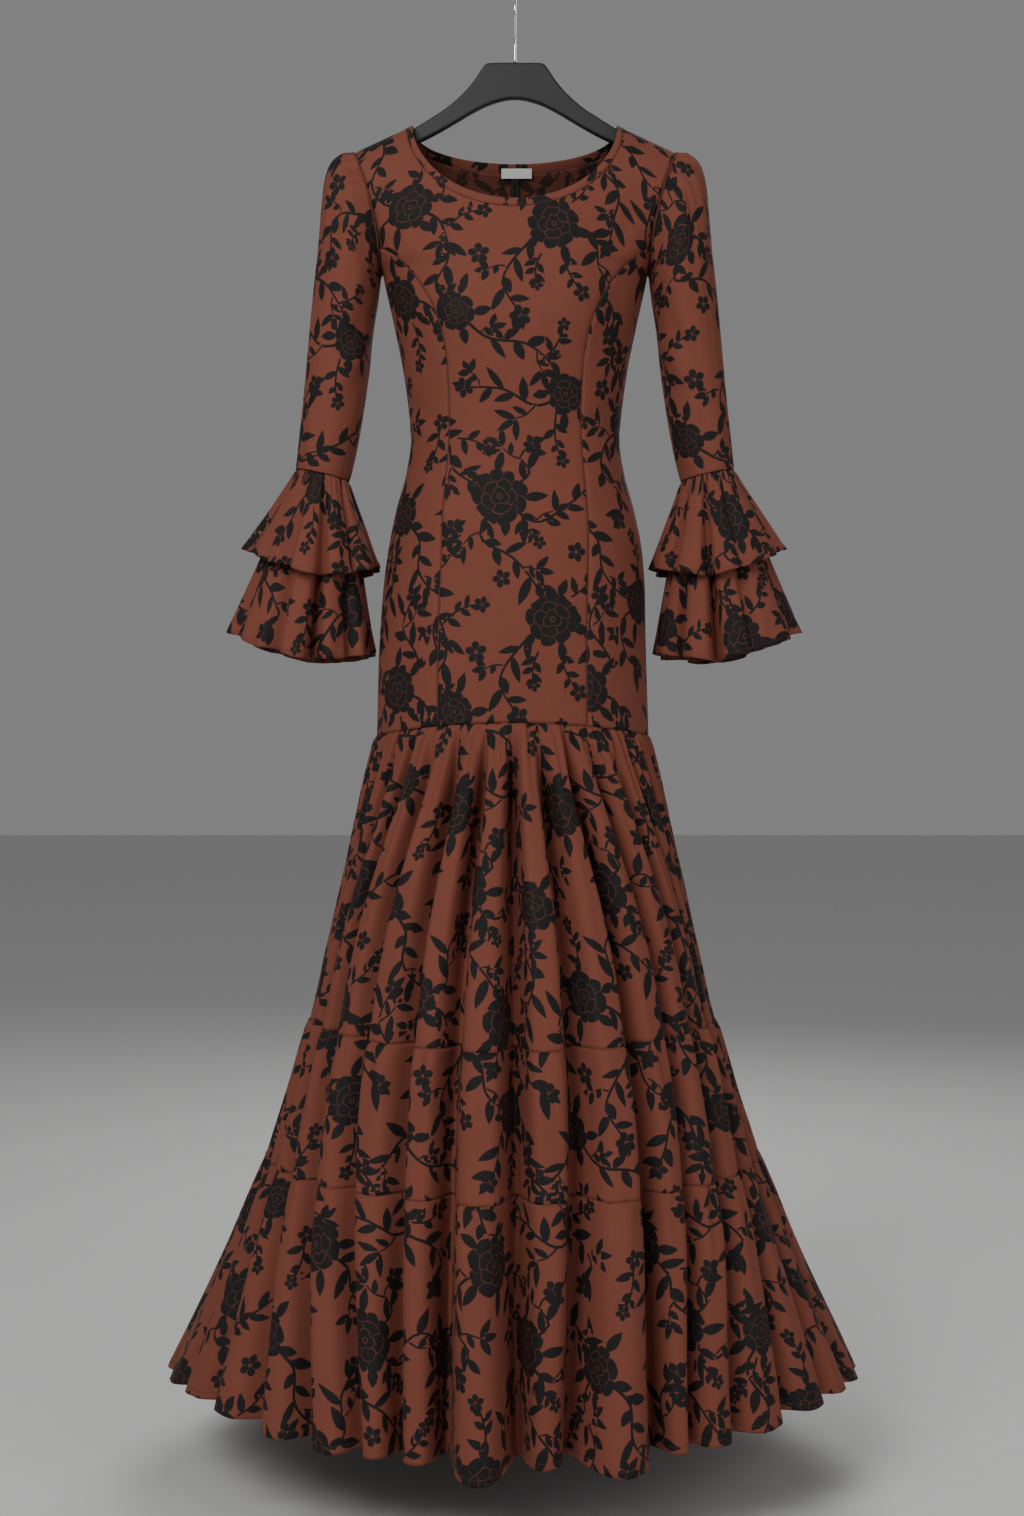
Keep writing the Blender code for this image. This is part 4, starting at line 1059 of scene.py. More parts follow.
class Shade:
    """A material's nodes. node takes a type, its settings and its inputs, in order or by name."""

    def __init__(self, name, colour, roughness, metallic=0.0):
        self.material = bpy.data.materials.new(name)
        self.material.use_nodes = True
        self.material.diffuse_color = (*colour[:3], 1)
        self.tree = self.material.node_tree
        self.bsdf = self.tree.nodes["Principled BSDF"]
        self.set(base_color=(*colour[:3], 1), roughness=roughness, metallic=metallic)

    def node(self, kind, settings=None, *inputs, **named):
        made = self.tree.nodes.new(kind)
        for name, value in (settings or {}).items():
            setattr(made, name, value)
        for place, value in [*enumerate(inputs), *named.items()]:
            socket = made.inputs[place if isinstance(place, int) else place.replace("_", " ").title()]
            self.feed(socket, value)
        return made

    def feed(self, socket, value):
        if value is None:
            return
        if isinstance(value, Value):
            value = value.socket
        if isinstance(value, bpy.types.NodeSocket):
            self.tree.links.new(value, socket)
        else:
            socket.default_value = value

    def set(self, **named):
        """Feeds the shader's own sockets, named in lower case."""
        for name, value in named.items():
            self.feed(self.bsdf.inputs[name.replace("_", " ").title().replace("Ior", "IOR")], value)

    def attribute(self, name):
        """The three numbers of a piece's own attribute."""
        vector = self.node("ShaderNodeAttribute", {"attribute_name": name}).outputs["Vector"]
        return self.split(vector)

    def split(self, vector):
        parts = self.node("ShaderNodeSeparateXYZ", None, vector)
        return [Value(self, socket) for socket in parts.outputs]

    def place(self, scale=1.0):
        """Object coordinates, scaled."""
        coordinates = self.node("ShaderNodeTexCoord").outputs["Object"]
        return self.node("ShaderNodeVectorMath", {"operation": "SCALE"}, coordinates, Scale=scale).outputs[0]

    def flat(self):
        """The flat cloth's own coordinates."""
        return self.node("ShaderNodeUVMap", {"uv_map": "cloth"}).outputs["UV"]

    def noise(self, vector, scale, detail=2.0, roughness=0.5):
        """Noise between 0 and 1."""
        node = self.node("ShaderNodeTexNoise", None, vector, Scale=scale, Detail=detail, Roughness=roughness)
        return Value(self, node.outputs[0])

    def mix(self, factor, first, second):
        """A colour between two."""
        node = self.node("ShaderNodeMix", {"data_type": "RGBA"})
        self.feed(node.inputs["Factor"], factor)
        for socket, colour in ((node.inputs[6], first), (node.inputs[7], second)):
            self.feed(socket, (*colour[:3], 1) if isinstance(colour, (tuple, list)) else colour)
        return node.outputs[2]

    def bump(self, height, distance, strength=1.0, normal=None):
        node = self.node("ShaderNodeBump", None, Strength=strength, Distance=distance, Height=height)
        self.feed(node.inputs["Normal"], normal)
        return node.outputs[0]


MATERIALS = {}


def shared(maker):
    """A material made once, which has its maker's name."""
    name = maker.__name__
    if name not in MATERIALS:
        MATERIALS[name] = maker(name)
    return MATERIALS[name]


# ================================================================ materials
def motif_mask(shade):
    """The black print, 1 inside, from the corners' motif places, with edges as ragged as on flocked ink.

    Leaf: |across| < 4 a (1 - a), where a is the way along it to the power 0.82. Stem: |across| + past its
    ends < 1. Flower: r < 0.60 + 0.40 |cos(2.5 turn)|, with a gap between petals and a ring round its eye.
    Bloom: r < 0.83 + 0.17 |cos(petals turn / 2)|^0.5. Thin lines part its petals and ring its inner petals.
    """
    flat = shade.flat()
    ragged = (shade.noise(flat, 420.0, 2.0) - 0.5) * 0.16
    rough = (shade.noise(flat, 150.0, 2.0) - 0.5) * 0.34

    along_leaf, across_leaf, _ = shade.attribute("leaf")
    full = along_leaf.high(0.0) ** 0.82
    leaf = (full * (1 - full) * 4 - across_leaf.abs() + ragged + rough * 0.35).over(-0.02, 0.08)
    leaf = leaf * along_leaf.over(0.0, 0.02) * (1 - along_leaf.over(0.98, 1.0))

    across_stem, past, _ = shade.attribute("stem")
    stem = (1 - across_stem.abs() - past + ragged * 1.6).over(-0.1, 0.15)

    def polar(name):
        x, y, third = shade.attribute(name)
        radius = (x * x + y * y) ** 0.5
        return radius, y.maths("ARCTAN2", x), third

    radius, turn, _ = polar("flower")
    petal = (turn * 2.5).cos().abs()
    flower = (petal * 0.40 + 0.60 - radius + ragged * 0.7).over(-0.02, 0.05)
    flower = flower * (1 - (0.17 - radius).over(-0.015, 0.015) * (radius - 0.07).over(-0.015, 0.015))
    parting = (petal - 0.07).over(0.0, 0.06).high((radius - 0.26).over(0.06, 0.0))
    flower = flower * parting.high((radius - 0.62).over(-0.08, 0.0))

    radius, turn, petals = polar("bloom")
    wavy = rough * 0.30
    warp = shade.noise(flat, 38.0, 1.0) - 0.5
    radius, turn = radius * (1 + warp * 0.42), turn + warp * 1.1
    outer = (turn * petals * 0.5 + wavy * 3).cos().abs()
    edge = outer ** 0.5 * 0.17 + 0.83
    bloom = (edge - radius + ragged * 0.35 + wavy * 0.5).over(-0.01, 0.03)
    outer_line = (outer - 0.04).over(0.025, 0.0)
    outer_line = outer_line * (radius - 0.60).over(0.0, 0.05) * (0.93 - radius).over(0.0, 0.05)
    inner = (turn * 2.5 + 0.8 + wavy * 4).cos().abs()
    ring_line = (inner * 0.10 + 0.53 - radius + wavy).abs().over(0.020, 0.008)
    inner_line = (inner - 0.07).over(0.05, 0.0)
    inner_line = inner_line * (radius - 0.32).over(0.0, 0.04) * (0.56 - radius).over(0.0, 0.04)
    core = (turn * 1.5 + 2.0 + wavy * 5).cos().abs()
    core_line = (core * 0.12 + 0.22 - radius + wavy * 0.8).abs().over(0.020, 0.008)
    eye = (radius - 0.085 + wavy * 0.4).abs().over(0.024, 0.010)
    lines = outer_line.high(ring_line).high(inner_line).high(core_line).high(eye)
    inside = (edge - 0.02 - radius).over(0.0, 0.02)
    black = leaf.high(stem).high(flower)
    return black * (1 - inside) + bloom * inside * (1 - lines * 0.55)


def crepe(name, rust, black, shadow):
    """Printed crepe: a fine pebbled weave, rust that varies in broad cloudy patches, and a soft nap."""
    shade = Shade(name, rust, 0.86)
    mask = motif_mask(shade)
    flat = shade.flat()
    cloudy = shade.noise(flat, 9.0, 3.0)
    threads = shade.noise(flat, 1500.0, 2.0, 0.7)
    drawn = shade.node("ShaderNodeVectorMath", {"operation": "MULTIPLY"}, flat, (1.0, 0.12, 1.0)).outputs[0]
    slub = shade.noise(drawn, 900.0)
    light = tuple(min(1, c * 1.12) for c in rust)
    dark = tuple(c * 0.84 for c in rust)
    ground = shade.mix(cloudy * 0.5 + slub * 0.25 + threads * 0.25, dark, light)
    worn = tuple(c * 2.1 for c in black)
    ink = shade.mix(threads * 0.5 + cloudy * 0.4, black, worn)
    colour = shade.mix(mask * shadow, ground, ink)
    shade.set(base_color=colour, roughness=0.88 - mask * 0.12)
    shade.set(sheen_weight=0.18, sheen_roughness=0.45, sheen_tint=(*light, 1), specular_ior_level=0.28)
    weave = shade.bump(threads * 0.6 + slub * 0.4, 0.00022, 0.55)
    shade.set(normal=shade.bump(mask, 0.00012, 0.5, weave))
    return shade.material


def printed_crepe(name):
    settings = bpy.context.scene.dress
    return crepe(name, tuple(settings.rust), tuple(settings.print_black), 1.0)


def printed_crepe_inside(name):
    """The crepe's wrong side: its rust darkened to 0.62 as painted shade, with the print showing through more
    faintly.
    """
    settings = bpy.context.scene.dress
    # painted shade: the inside's rust is darkened to 0.62, and its print is mixed at 0.82 as a fainter
    # show-through
    return crepe(name, tuple(c * 0.62 for c in settings.rust), tuple(settings.print_black), 0.82)


# ================================================================ settings
class DressSettings(bpy.types.PropertyGroup):
    cloth_thickness: FloatProperty(
        name="Cloth thickness", description="Thickness of the crepe's wall", default=0.0009, unit="LENGTH")
    grid_pitch: FloatProperty(
        name="Grid pitch", description="Distance between the cloth's rows, in millimetres", default=4.2)
    rust: FloatVectorProperty(
        name="Rust", description="Ground colour of the crepe", default=(0.200, 0.058, 0.037), subtype="COLOR")
    print_black: FloatVectorProperty(
        name="Print", description="Colour of the print", default=(0.0062, 0.0054, 0.0052), subtype="COLOR")
    hanger_colour: FloatVectorProperty(
        name="Hanger", description="Colour of the hanger", default=(0.0125, 0.0125, 0.0135), subtype="COLOR")
    camera_distance: FloatProperty(
        name="Camera distance", description="From the camera to the hanger", default=2.5, unit="LENGTH")
    camera_lens: FloatProperty(
        name="Lens", description="Focal length on a 36 mm frame height, in millimetres", default=49.5)
    camera_drop: FloatProperty(
        name="Camera drop", description="From the hook down to the camera", default=0.911, unit="LENGTH")
    key_light: FloatProperty(
        name="Key light", description="Power of the large front light, in watts", default=66.0)


# ================================================================ pieces
# where the printed cloth's own middle lies on each panel
FRONT_PRINT, SIDE_PRINT = 190.0, 232.0
BACK_PRINT, HALF_BACK_PRINT = 560.0, 105.0
SLEEVE_PRINTS = (("right", 90.0), ("left", 300.0))


def grid_steps(length):
    """Even steps from 0 to 1 for a length in millimetres."""
    return np.linspace(0, 1, int(length / bpy.context.scene.dress.grid_pitch) + 1)


class DRESS_OT_bodice(bpy.types.Operator):
    """Make the bodice's five panels"""

    bl_idname = "dress.bodice"
    bl_label = "Bodice"

    def execute(self, context):
        pitch = context.scene.dress.grid_pitch
        self.front_centre(pitch)
        self.front_sides(pitch)
        self.backs(pitch)
        return {"FINISHED"}

    def front_centre(self, pitch):
        shares = np.linspace(-1, 1, 73)

        def place(share, drop):
            return princess_sine(drop, share, PRINCESS_HALF_GAP)

        sine, drop = panel(shares, "front", place, PRINCESS_TIP, pitch)
        edge = np.minimum(1 - np.abs(shares)[None, :], 1) * bodice_half_width(drop) * 0.6
        points = bodice_cloth(sine, drop, "front", edge)
        places = plain_places(points, FRONT_PRINT, drop)
        cloth_piece("front_centre", "bodice_front_centre", points, places)

    def front_sides(self, pitch):
        shares = np.linspace(0, 1, 20)
        drops = np.linspace(PRINCESS_TIP + PRINCESS_START, HIP, int((HIP - PRINCESS_TIP) / pitch))[:, None]
        turn = princess_turn(drops) + PRINCESS_HALF_GAP
        base = np.sin(turn + (math.pi / 2 - turn) * shares)
        up = (base - base[:, :1]) / (1 - base[:, :1]) * (1 - smooth_step((drops - drops[0]) / 30))
        for name, way in (("left", -1), ("right", 1)):
            sine = (way * base)[:, ::way]
            drop = hip_line(drops, sine) - PRINCESS_START * up[:, ::way]
            edge = np.minimum(shares, 1 - shares)[None, ::way] * 90
            points = bodice_cloth(sine, drop, "front", edge)
            places = plain_places(points, FRONT_PRINT + way * SIDE_PRINT, drop)
            cloth_piece(f"front_side_{name}", f"bodice_front_side_{name}", points, places)

    def backs(self, pitch):
        turns = np.linspace(0, 1, 40)
        for name, way in (("left", -1), ("right", 1)):
            first = (SEAM / 2) / (NECK_HALF + BAND_WIDTH) * NECK_SHARE * 2 / math.pi
            shares = way * (first + (1 - first) * turns)

            def place(share, drop):
                sine = np.sin(np.abs(share) * math.pi / 2)
                return way * np.maximum(sine, SEAM / 2 / bodice_half_width(drop))

            sine, drop = panel(shares, "back", place, UNDERARM, pitch)
            edge = np.minimum(np.abs(shares) - first, 1 - np.abs(shares))[None, :] * 150
            points = bodice_cloth(sine, drop, "back", edge)
            points = points[:, ::-1] if way > 0 else points
            drop = drop[:, ::-1] if way > 0 else drop
            places = plain_places(points, BACK_PRINT - way * HALF_BACK_PRINT, drop)
            cloth_piece(f"back_{name}", f"bodice_back_{name}", points, places)


class DRESS_OT_sleeves(bpy.types.Operator):
    """Make the two sleeves, gathered at the head"""

    bl_idname = "dress.sleeves"
    bl_label = "Sleeves"

    def execute(self, context):
        steps = np.linspace(-1, 9, 104)
        columns = 132
        turns = np.linspace(0, 2 * math.pi, columns, endpoint=False)
        turns = turns - 0.6 * np.sin(turns)  # closer together over the gathered head
        for name, start in SLEEVE_PRINTS:
            points = sleeve(steps, turns)
            run = arc(ring_closed(points), 1)
            down = arc(points, 0).mean(axis=1, keepdims=True) + 0 * run + start
            places = face_places(run - run[:, columns // 2, None] + start, down)
            if name == "left":
                points = mirrored(points)
            cloth_piece(f"sleeve_{name}_cloth", f"sleeve_{name}", points, places, closed=True)
        return {"FINISHED"}


def mirrored(points):
    """A closed grid for the other side, with its columns turned round so that it still faces out."""
    return (points * np.array([-1, 1, 1]))[:, ::-1]


class DRESS_OT_ruffles(bpy.types.Operator):
    """Make the two tiers of ruffle on each sleeve"""

    bl_idname = "dress.ruffles"
    bl_label = "Ruffles"

    def execute(self, context):
        for row, length in zip(RUFFLES, RUFFLE_LENGTHS):
            for name, seed in RUFFLE_SEEDS:
                points = ruffle(row, grid_steps(length), seed)
                closed = ring_closed(points)
                run = np.repeat(arc(closed, 1)[-1:], len(points), axis=0) + 60 * seed
                places = face_places(run, arc(closed, 0) + 90 * seed)
                if name == "left":
                    points = mirrored(points)
                node = f"ruffle_{row.name}_{name}"
                cloth_piece(node + "_cloth", node, points, places, closed=True)
        return {"FINISHED"}


class DRESS_OT_skirt(bpy.types.Operator):
    """Make the skirt's three gathered tiers, each in a front and a back"""

    bl_idname = "dress.skirt"
    bl_label = "Skirt"

    def execute(self, context):
        all_round = FOLD_COUNT * FOLD_STEPS
        start = -(FOLD_STEPS // 2)
        around = np.arange(start, start + all_round + 1) % all_round
        count = RIGHT_SIDE_FOLD * FOLD_STEPS
        for tier in TIERS:
            steps = grid_steps(tier.bottom - tier.top)
            points = skirt(tier, steps)
            left, right = lobe_places(points)
            down = np.repeat(arc(points, 0).mean(axis=1, keepdims=True), points.shape[1], axis=1) + tier.top
            for name, columns in (("front", around[: count + 1]), ("back", around[count:])):
                faces = columns[:-1]
                places = (left[:, faces], right[:, faces], (down[:, faces], down[:, columns[1:]]))
                half = points[:, columns]
                cloth_piece(f"{tier.name}_tier_{name}", f"skirt_{tier.name}_{name}", half, places)
        return {"FINISHED"}


class DRESS_OT_stage(bpy.types.Operator):
    """Make the floor, the lights and the camera"""

    bl_idname = "dress.stage"
    bl_label = "Stage"

    def execute(self, context):
        settings = context.scene.dress
        self.floor()
        self.lights(settings)
        self.camera(settings)
        return {"FINISHED"}

    def floor(self):
        side = np.linspace(-20000, 20000, 3)
        x, y = np.meshgrid(side, side, indexing="ij")
        floor = sheet_mesh("floor", np.stack([x.T, y.T[::-1], 0 * x - FLOOR_DROP], -1))
        shade = Shade("floor", (0.72, 0.715, 0.705), 0.9)
        grain = shade.noise(shade.place(), 40.0, 3.0)
        shade.set(base_color=shade.mix(grain, (0.70, 0.695, 0.685), (0.74, 0.735, 0.725)))
        floor.data.materials.append(shade.material)

    def lights(self, settings):
        world = bpy.data.worlds.new("studio")
        world.use_nodes = True
        background = world.node_tree.nodes["Background"].inputs
        background["Color"].default_value = (0.74, 0.74, 0.75, 1)
        background["Strength"].default_value = 0.30
        bpy.context.scene.world = world
        for name, at, size, power in (
            ("key", (-1.3, -2.6, 0.9), 1.6, settings.key_light),
            ("fill", (1.9, -2.2, -0.2), 1.8, settings.key_light * 0.26),
            ("rim", (0.6, 2.2, 0.8), 1.6, settings.key_light * 0.5),
        ):
            data = bpy.data.lights.new(name, "AREA")
            data.energy = power
            data.size = size
            light = link(name, data)
            light.location = at
            aim = Vector((0, 0, -0.95)) - Vector(at)
            light.rotation_euler = aim.to_track_quat("-Z", "Y").to_euler()

    def camera(self, settings):
        data = bpy.data.cameras.new("camera")
        data.sensor_fit = "VERTICAL"
        data.sensor_height = 36
        data.lens = settings.camera_lens
        camera = link("camera", data)
        camera.location = (-0.0036, -settings.camera_distance, -settings.camera_drop)
        camera.rotation_euler = (math.radians(90), 0, 0)
        bpy.context.scene.camera = camera


# ================================================================ bindings, seams and stitches
def neck_loop(inside, out):
    """The neck's round from the centre back over the left shoulder, with a row for each inside and out."""
    share = 1 - np.cos(np.linspace(0.004, 1, 60) * math.pi / 2) ** 1.3
    share = np.clip(share, 0, 1)
    lines = []
    for side, way, order in (("back", -1, 1), ("front", -1, -1), ("front", 1, 1), ("back", 1, -1)):
        across, drop = neck_point(share[None, ::order], side, inside[:, None])
        across = np.maximum(across, SEAM / 2) if side == "back" else across
        line = bodice(way * across / bodice_half_width(drop), drop, side, out[:, None])
        lines.append(line[:, 1:] if lines else line)
    return np.concatenate(lines, axis=1)


def bead(name, routes, length, radius, flat=0.6):
    """Stitches: six-sided beads, length long and radius thick, a pitch apart along the routes.

    Each route is (points, normals, pitch): beads lie along the route and are flat towards the normal.
    """
    ring = np.linspace(0, 2 * math.pi, 6, endpoint=False)
    belt = np.array([0.0, 0.75, 1.0, 0.75, 0.0])
    shape = np.stack([
        np.repeat(np.linspace(-0.5, 0.5, len(belt)) * length, len(ring)),
        np.outer(belt, np.cos(ring)).ravel() * radius,
        np.outer(belt, np.sin(ring)).ravel() * radius * flat,
    ], -1)
    points = []
    for route, normals, pitch in routes:
        run = arc(route, 0)
        places = np.arange(pitch / 2, run[-1], pitch)
        tangent = unit(at_places(places + 0.5, run, route) - at_places(places - 0.5, run, route))
        side = unit(np.cross(at_places(places, run, normals), tangent))
        axes = np.stack([tangent, side, np.cross(tangent, side)], axis=1)
        points.append(at_places(places, run, route)[:, None] + shape[None] @ axes)
    points = np.concatenate(points)
    faces = np.roll(number_faces(len(belt), len(ring), True)[:, ::-1], 1, axis=1)
    faces = (faces[None] + len(shape) * np.arange(len(points))[:, None, None]).reshape(-1, 4)
    mesh = bpy.data.meshes.new(name)
    mesh.from_pydata((points.reshape(-1, 3) * MM).tolist(), [], faces.tolist())
    mesh.polygons.foreach_set("use_smooth", np.ones(len(faces), bool))
    obj = link(name, mesh)
    merge(obj)
    return obj


def thread(name):
    """Sewing thread a little darker than the rust, with a twisted ply."""
    shade = Shade(name, (0.105, 0.030, 0.018), 0.7)
    ply = shade.noise(shade.place(), 2600.0, 1.0)
    shade.set(base_color=shade.mix(ply, (0.075, 0.021, 0.013), (0.15, 0.045, 0.028)))
    shade.set(normal=shade.bump(ply, 0.0002, 0.6))
    return shade.material


def seam_cloth(name):
    """The turned edge of the crepe inside a seam: the rust in shadow, with a pressed weave."""
    settings = bpy.context.scene.dress
    shade = Shade(name, tuple(c * 0.5 for c in settings.rust), 0.9)
    weave = shade.noise(shade.place(), 1400.0, 2.0)
    dark, light = (tuple(c * k for c in settings.rust) for k in (0.32, 0.6))
    shade.set(base_color=shade.mix(weave, dark, light), normal=shade.bump(weave, 0.0002, 0.5))
    return shade.material


class DRESS_OT_neck(bpy.types.Operator):
    """Make the neck's binding and its line of stitches"""

    bl_idname = "dress.neck"
    bl_label = "Neck binding"

    def execute(self, context):
        turns = np.linspace(0, 2 * math.pi, 14, endpoint=False)
        lap = np.where(np.sin(turns) < 0.1, 1.3, 0.0)
        inside = (BAND_WIDTH + lap) / 2 * (1 - np.sign(np.cos(turns)) * np.abs(np.cos(turns)) ** 0.7)
        out = 1.0 + 1.25 * np.sin(turns)
        points = neck_loop(inside, out)
        middle = points.mean(axis=0, keepdims=True)
        points = np.concatenate([points, points[:1]])
        run = arc(middle, 1) + 0 * points[..., 0] + 40
        obj = sheet_mesh("neck_binding", points)
        lay_print(obj, *face_places(run, arc(points, 0)))
        merge(obj)
        finish(obj, printed_crepe, "printed_crepe", "neck_band")
        self.stitches()
        return {"FINISHED"}

    def stitches(self):
        line = neck_loop(np.array([BAND_WIDTH - 1.3]), np.array([2.15]))[0]
        normals = np.stack([0 * line[:, 0], np.where(line[:, 1] < 0, -1.0, 1.0), 0 * line[:, 0]], -1)
        finish(bead("neck_stitches", [(line, normals, 3.3)], 2.5, 0.32), thread, "printed_crepe")


class DRESS_OT_seams(bpy.types.Operator):
    """Make the turned edges inside the seams, and the stitches along the hems"""

    bl_idname = "dress.seams"
    bl_label = "Seams and hems"

    def execute(self, context):
        self.neckline()
        self.armholes()
        self.princess()
        self.rings()
        self.hems()
        return {"FINISHED"}

    def seam(self, name, line, radius, sides=6, closed=False):
        finish(tube(name, line, radius, sides, closed), seam_cloth, "printed_crepe")

    def stitches(self, name, routes, length, radius):
        finish(bead(name, routes, length, radius), thread, "printed_crepe")

    def neckline(self):
        line = neck_loop(np.array([BAND_WIDTH + 0.3]), np.array([WALL + 0.1]))[0]
        self.seam("neck_seam", line, 0.5)

    def armholes(self):
        turns = np.linspace(0, 2 * math.pi, 120, endpoint=False)
        ring = armhole_ring(turns)
        ring[:, 0] -= 0.6
        for name, way in (("right", 1), ("left", -1)):
            self.seam(f"armhole_seam_{name}", ring * np.array([way, 1, 1]), 1.25, 8, closed=True)

    def princess(self):
        drop = np.linspace(PRINCESS_TIP + 1, HIP - 4, 160)
        sine = princess_sine(drop)
        for name, way in (("right", 1), ("left", -1)):
            line = bodice(way * sine, hip_line(drop, sine), "front", 0.15)
            self.seam(f"princess_seam_{name}", line, 0.75)
            side = bodice(way * np.ones(110), np.linspace(UNDERARM + 3, HIP - 3, 110), "front", WALL / 2)
            side[:, 0] -= way * 0.35
            side[:, 1] = 0
            self.seam(f"side_seam_{name}", side, 0.75)

    def rings(self):
        for tier in TIERS:
            ring = skirt(tier, np.array([0.0]))[0]
            middle = ring.mean(axis=0)
            inward = unit((middle - ring) * np.array([1, 1, 0]))
            self.seam(f"{tier.name}_seam", ring + inward * 0.5, 0.85, closed=True)

    def hems(self):
        tier = TIERS[2]
        height = tier.bottom - tier.top
        near = skirt(tier, np.array([1 - 9.0 / height, 1 - 7.0 / height, 1 - 5.0 / height]))
        normals = outward(near)[1]
        line = near[1] + normals * 0.62
        routes = [(np.concatenate([line, line[:1]]), np.concatenate([normals, normals[:1]]), 4.0)]
        self.stitches("hem_stitches", routes, 2.9, 0.34)
        routes = []
        for row, length in zip(RUFFLES, RUFFLE_LENGTHS):
            for (_, seed), way in zip(RUFFLE_SEEDS, (1, -1)):
                near = ruffle(row, np.array([1 - 6.5 / length, 1 - 5.0 / length, 1 - 3.5 / length]), seed)
                normals, line = outward(near)[1], near[1]
                line = (line + normals * 0.6) * np.array([way, 1, 1])
                normals = normals * np.array([way, 1, 1])
                routes.append((np.concatenate([line, line[:1]]), np.concatenate([normals, normals[:1]]), 3.6))
        self.stitches("ruffle_stitches", routes, 2.6, 0.3)


# ================================================================ zip, label, hanger and hook
def back_point(drop, across, out):
    """A point on the back, moved out of the wall's inner face by out mm, square to the slope."""
    step = 1.0
    drop, across = np.broadcast_arrays(np.asarray(drop, float), np.asarray(across, float))
    here = bodice(across / bodice_half_width(drop), drop, "back")
    lower = bodice(across / bodice_half_width(drop + step), drop + step, "back")
    slope = (lower[..., 1] - here[..., 1]) / step
    length = np.sqrt(1 + slope**2)
    here[..., 1] += out / length
    here[..., 2] += out * slope / length
    return here


def dark_metal(name):
    """Lacquered black metal, brushed a little by use."""
    shade = Shade(name, (0.02, 0.02, 0.022), 0.32, 0.85)
    scratch = shade.noise(shade.place(), 900.0, 4.0, 0.7)
    shade.set(base_color=shade.mix(scratch.over(0.62, 0.75), (0.018, 0.018, 0.020), (0.09, 0.09, 0.095)))
    shade.set(roughness=scratch * 0.25 + 0.22, normal=shade.bump(scratch, 0.00003, 0.3))
    return shade.material


def black_tape(name):
    """Woven black tape: ribs along it and fine threads across."""
    shade = Shade(name, (0.012, 0.012, 0.013), 0.75)
    x, _, z = shade.split(shade.place(1000.0))
    ribs = (x * 5.2).sin() * 0.5 + 0.5
    threads = (z * 7.5).sin() * 0.5 + 0.5
    shade.set(base_color=shade.mix(ribs * threads, (0.008, 0.008, 0.009), (0.024, 0.024, 0.025)))
    shade.set(normal=shade.bump(ribs * 0.5 + threads * 0.5, 0.0002, 0.6))
    return shade.material


def white_satin(name):
    """Bare woven satin: fine floats along the label, a few longer ones, and faintly grey edges."""
    shade = Shade(name, (0.78, 0.77, 0.75), 0.5)
    x, _, z = shade.split(shade.place(1000.0))
    floats = (z * 11.0).sin() * 0.5 + 0.5
    picks = (x * 8.0 + (z * 5.5).sin() * 0.6).sin() * 0.5 + 0.5
    cloud = shade.noise(shade.place(), 260.0, 2.0)
    weave = floats * 0.6 + picks * 0.4
    shade.set(base_color=shade.mix(weave * 0.6 + cloud * 0.4, (0.80, 0.79, 0.775), (0.93, 0.92, 0.91)))
    shade.set(sheen_weight=0.2, normal=shade.bump(weave, 0.00012, 0.5))
    return shade.material


def white_thread(name):
    shade = Shade(name, (0.62, 0.61, 0.59), 0.7)
    ply = shade.noise(shade.place(), 2600.0, 1.0)
    shade.set(base_color=shade.mix(ply, (0.5, 0.49, 0.47), (0.72, 0.71, 0.69)))
    return shade.material


def charcoal(name):
    """Moulded charcoal plastic: fine spark texture, slightly polished where cloth rubs its edges."""
    settings = bpy.context.scene.dress
    colour = tuple(settings.hanger_colour)
    shade = Shade(name, colour, 0.5)
    grain = shade.noise(shade.place(), 1100.0, 3.0, 0.65)
    cloud = shade.noise(shade.place(), 14.0, 3.0)
    light = tuple(c * 1.35 for c in colour)
    dark = tuple(c * 0.8 for c in colour)
    shade.set(base_color=shade.mix(grain * 0.5 + cloud * 0.5, dark, light))
    shade.set(roughness=0.40 + grain * 0.12 + cloud * 0.10, normal=shade.bump(grain, 0.00008, 0.35))
    return shade.material


def chrome(name):
    """Polished chrome wire with faint drawn lines and a few dull specks."""
    shade = Shade(name, (0.82, 0.82, 0.84), 0.08, 1.0)
    specks = shade.noise(shade.place(), 700.0, 3.0, 0.7)
    shade.set(base_color=shade.mix(specks.over(0.55, 0.75), (0.84, 0.84, 0.86), (0.66, 0.65, 0.65)))
    shade.set(roughness=specks.over(0.4, 0.8) * 0.14 + 0.06)
    return shade.material


def dress_node(node, maker):
    """Gives a solid that stays its better finish."""
    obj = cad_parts[node]
    for slot in obj.material_slots:
        slot.material = shared(maker)


class DRESS_OT_back_fittings(bpy.types.Operator):
    """Make the zip's coil, and finish the tape, slider, pull tab and label"""

    bl_idname = "dress.back_fittings"
    bl_label = "Zip and label"

    def execute(self, context):
        dress_node("zip_tape", black_tape)
        dress_node("zip_slider", dark_metal)
        dress_node("zip_pull", dark_metal)
        dress_node("label", white_satin)
        self.coil()
        self.label_stitches()
        return {"FINISHED"}

    def coil(self):
        drops = np.linspace(206, 652, 240)
        routes = []
        for across in (-0.75, 0.75):
            line = back_point(drops, across, -2.25)
            normals = np.tile([0.0, -1.0, 0.0], (len(line), 1))
            routes.append((line, normals, 1.5))
        finish(bead("zip_coil", routes, 1.0, 0.62, 0.8), dark_metal, "zip_tape")

    def label_stitches(self):
        routes = []
        normal = np.array([0.0, -1.0, 0.0])
        for across in (-14.5, 18.5):
            line = back_point(np.linspace(192.2, 200.4, 12), across, -3.42)
            routes.append((line, np.tile(normal, (12, 1)), 1.5))
        finish(bead("label_stitches", routes, 1.1, 0.2), white_thread, "label_satin")


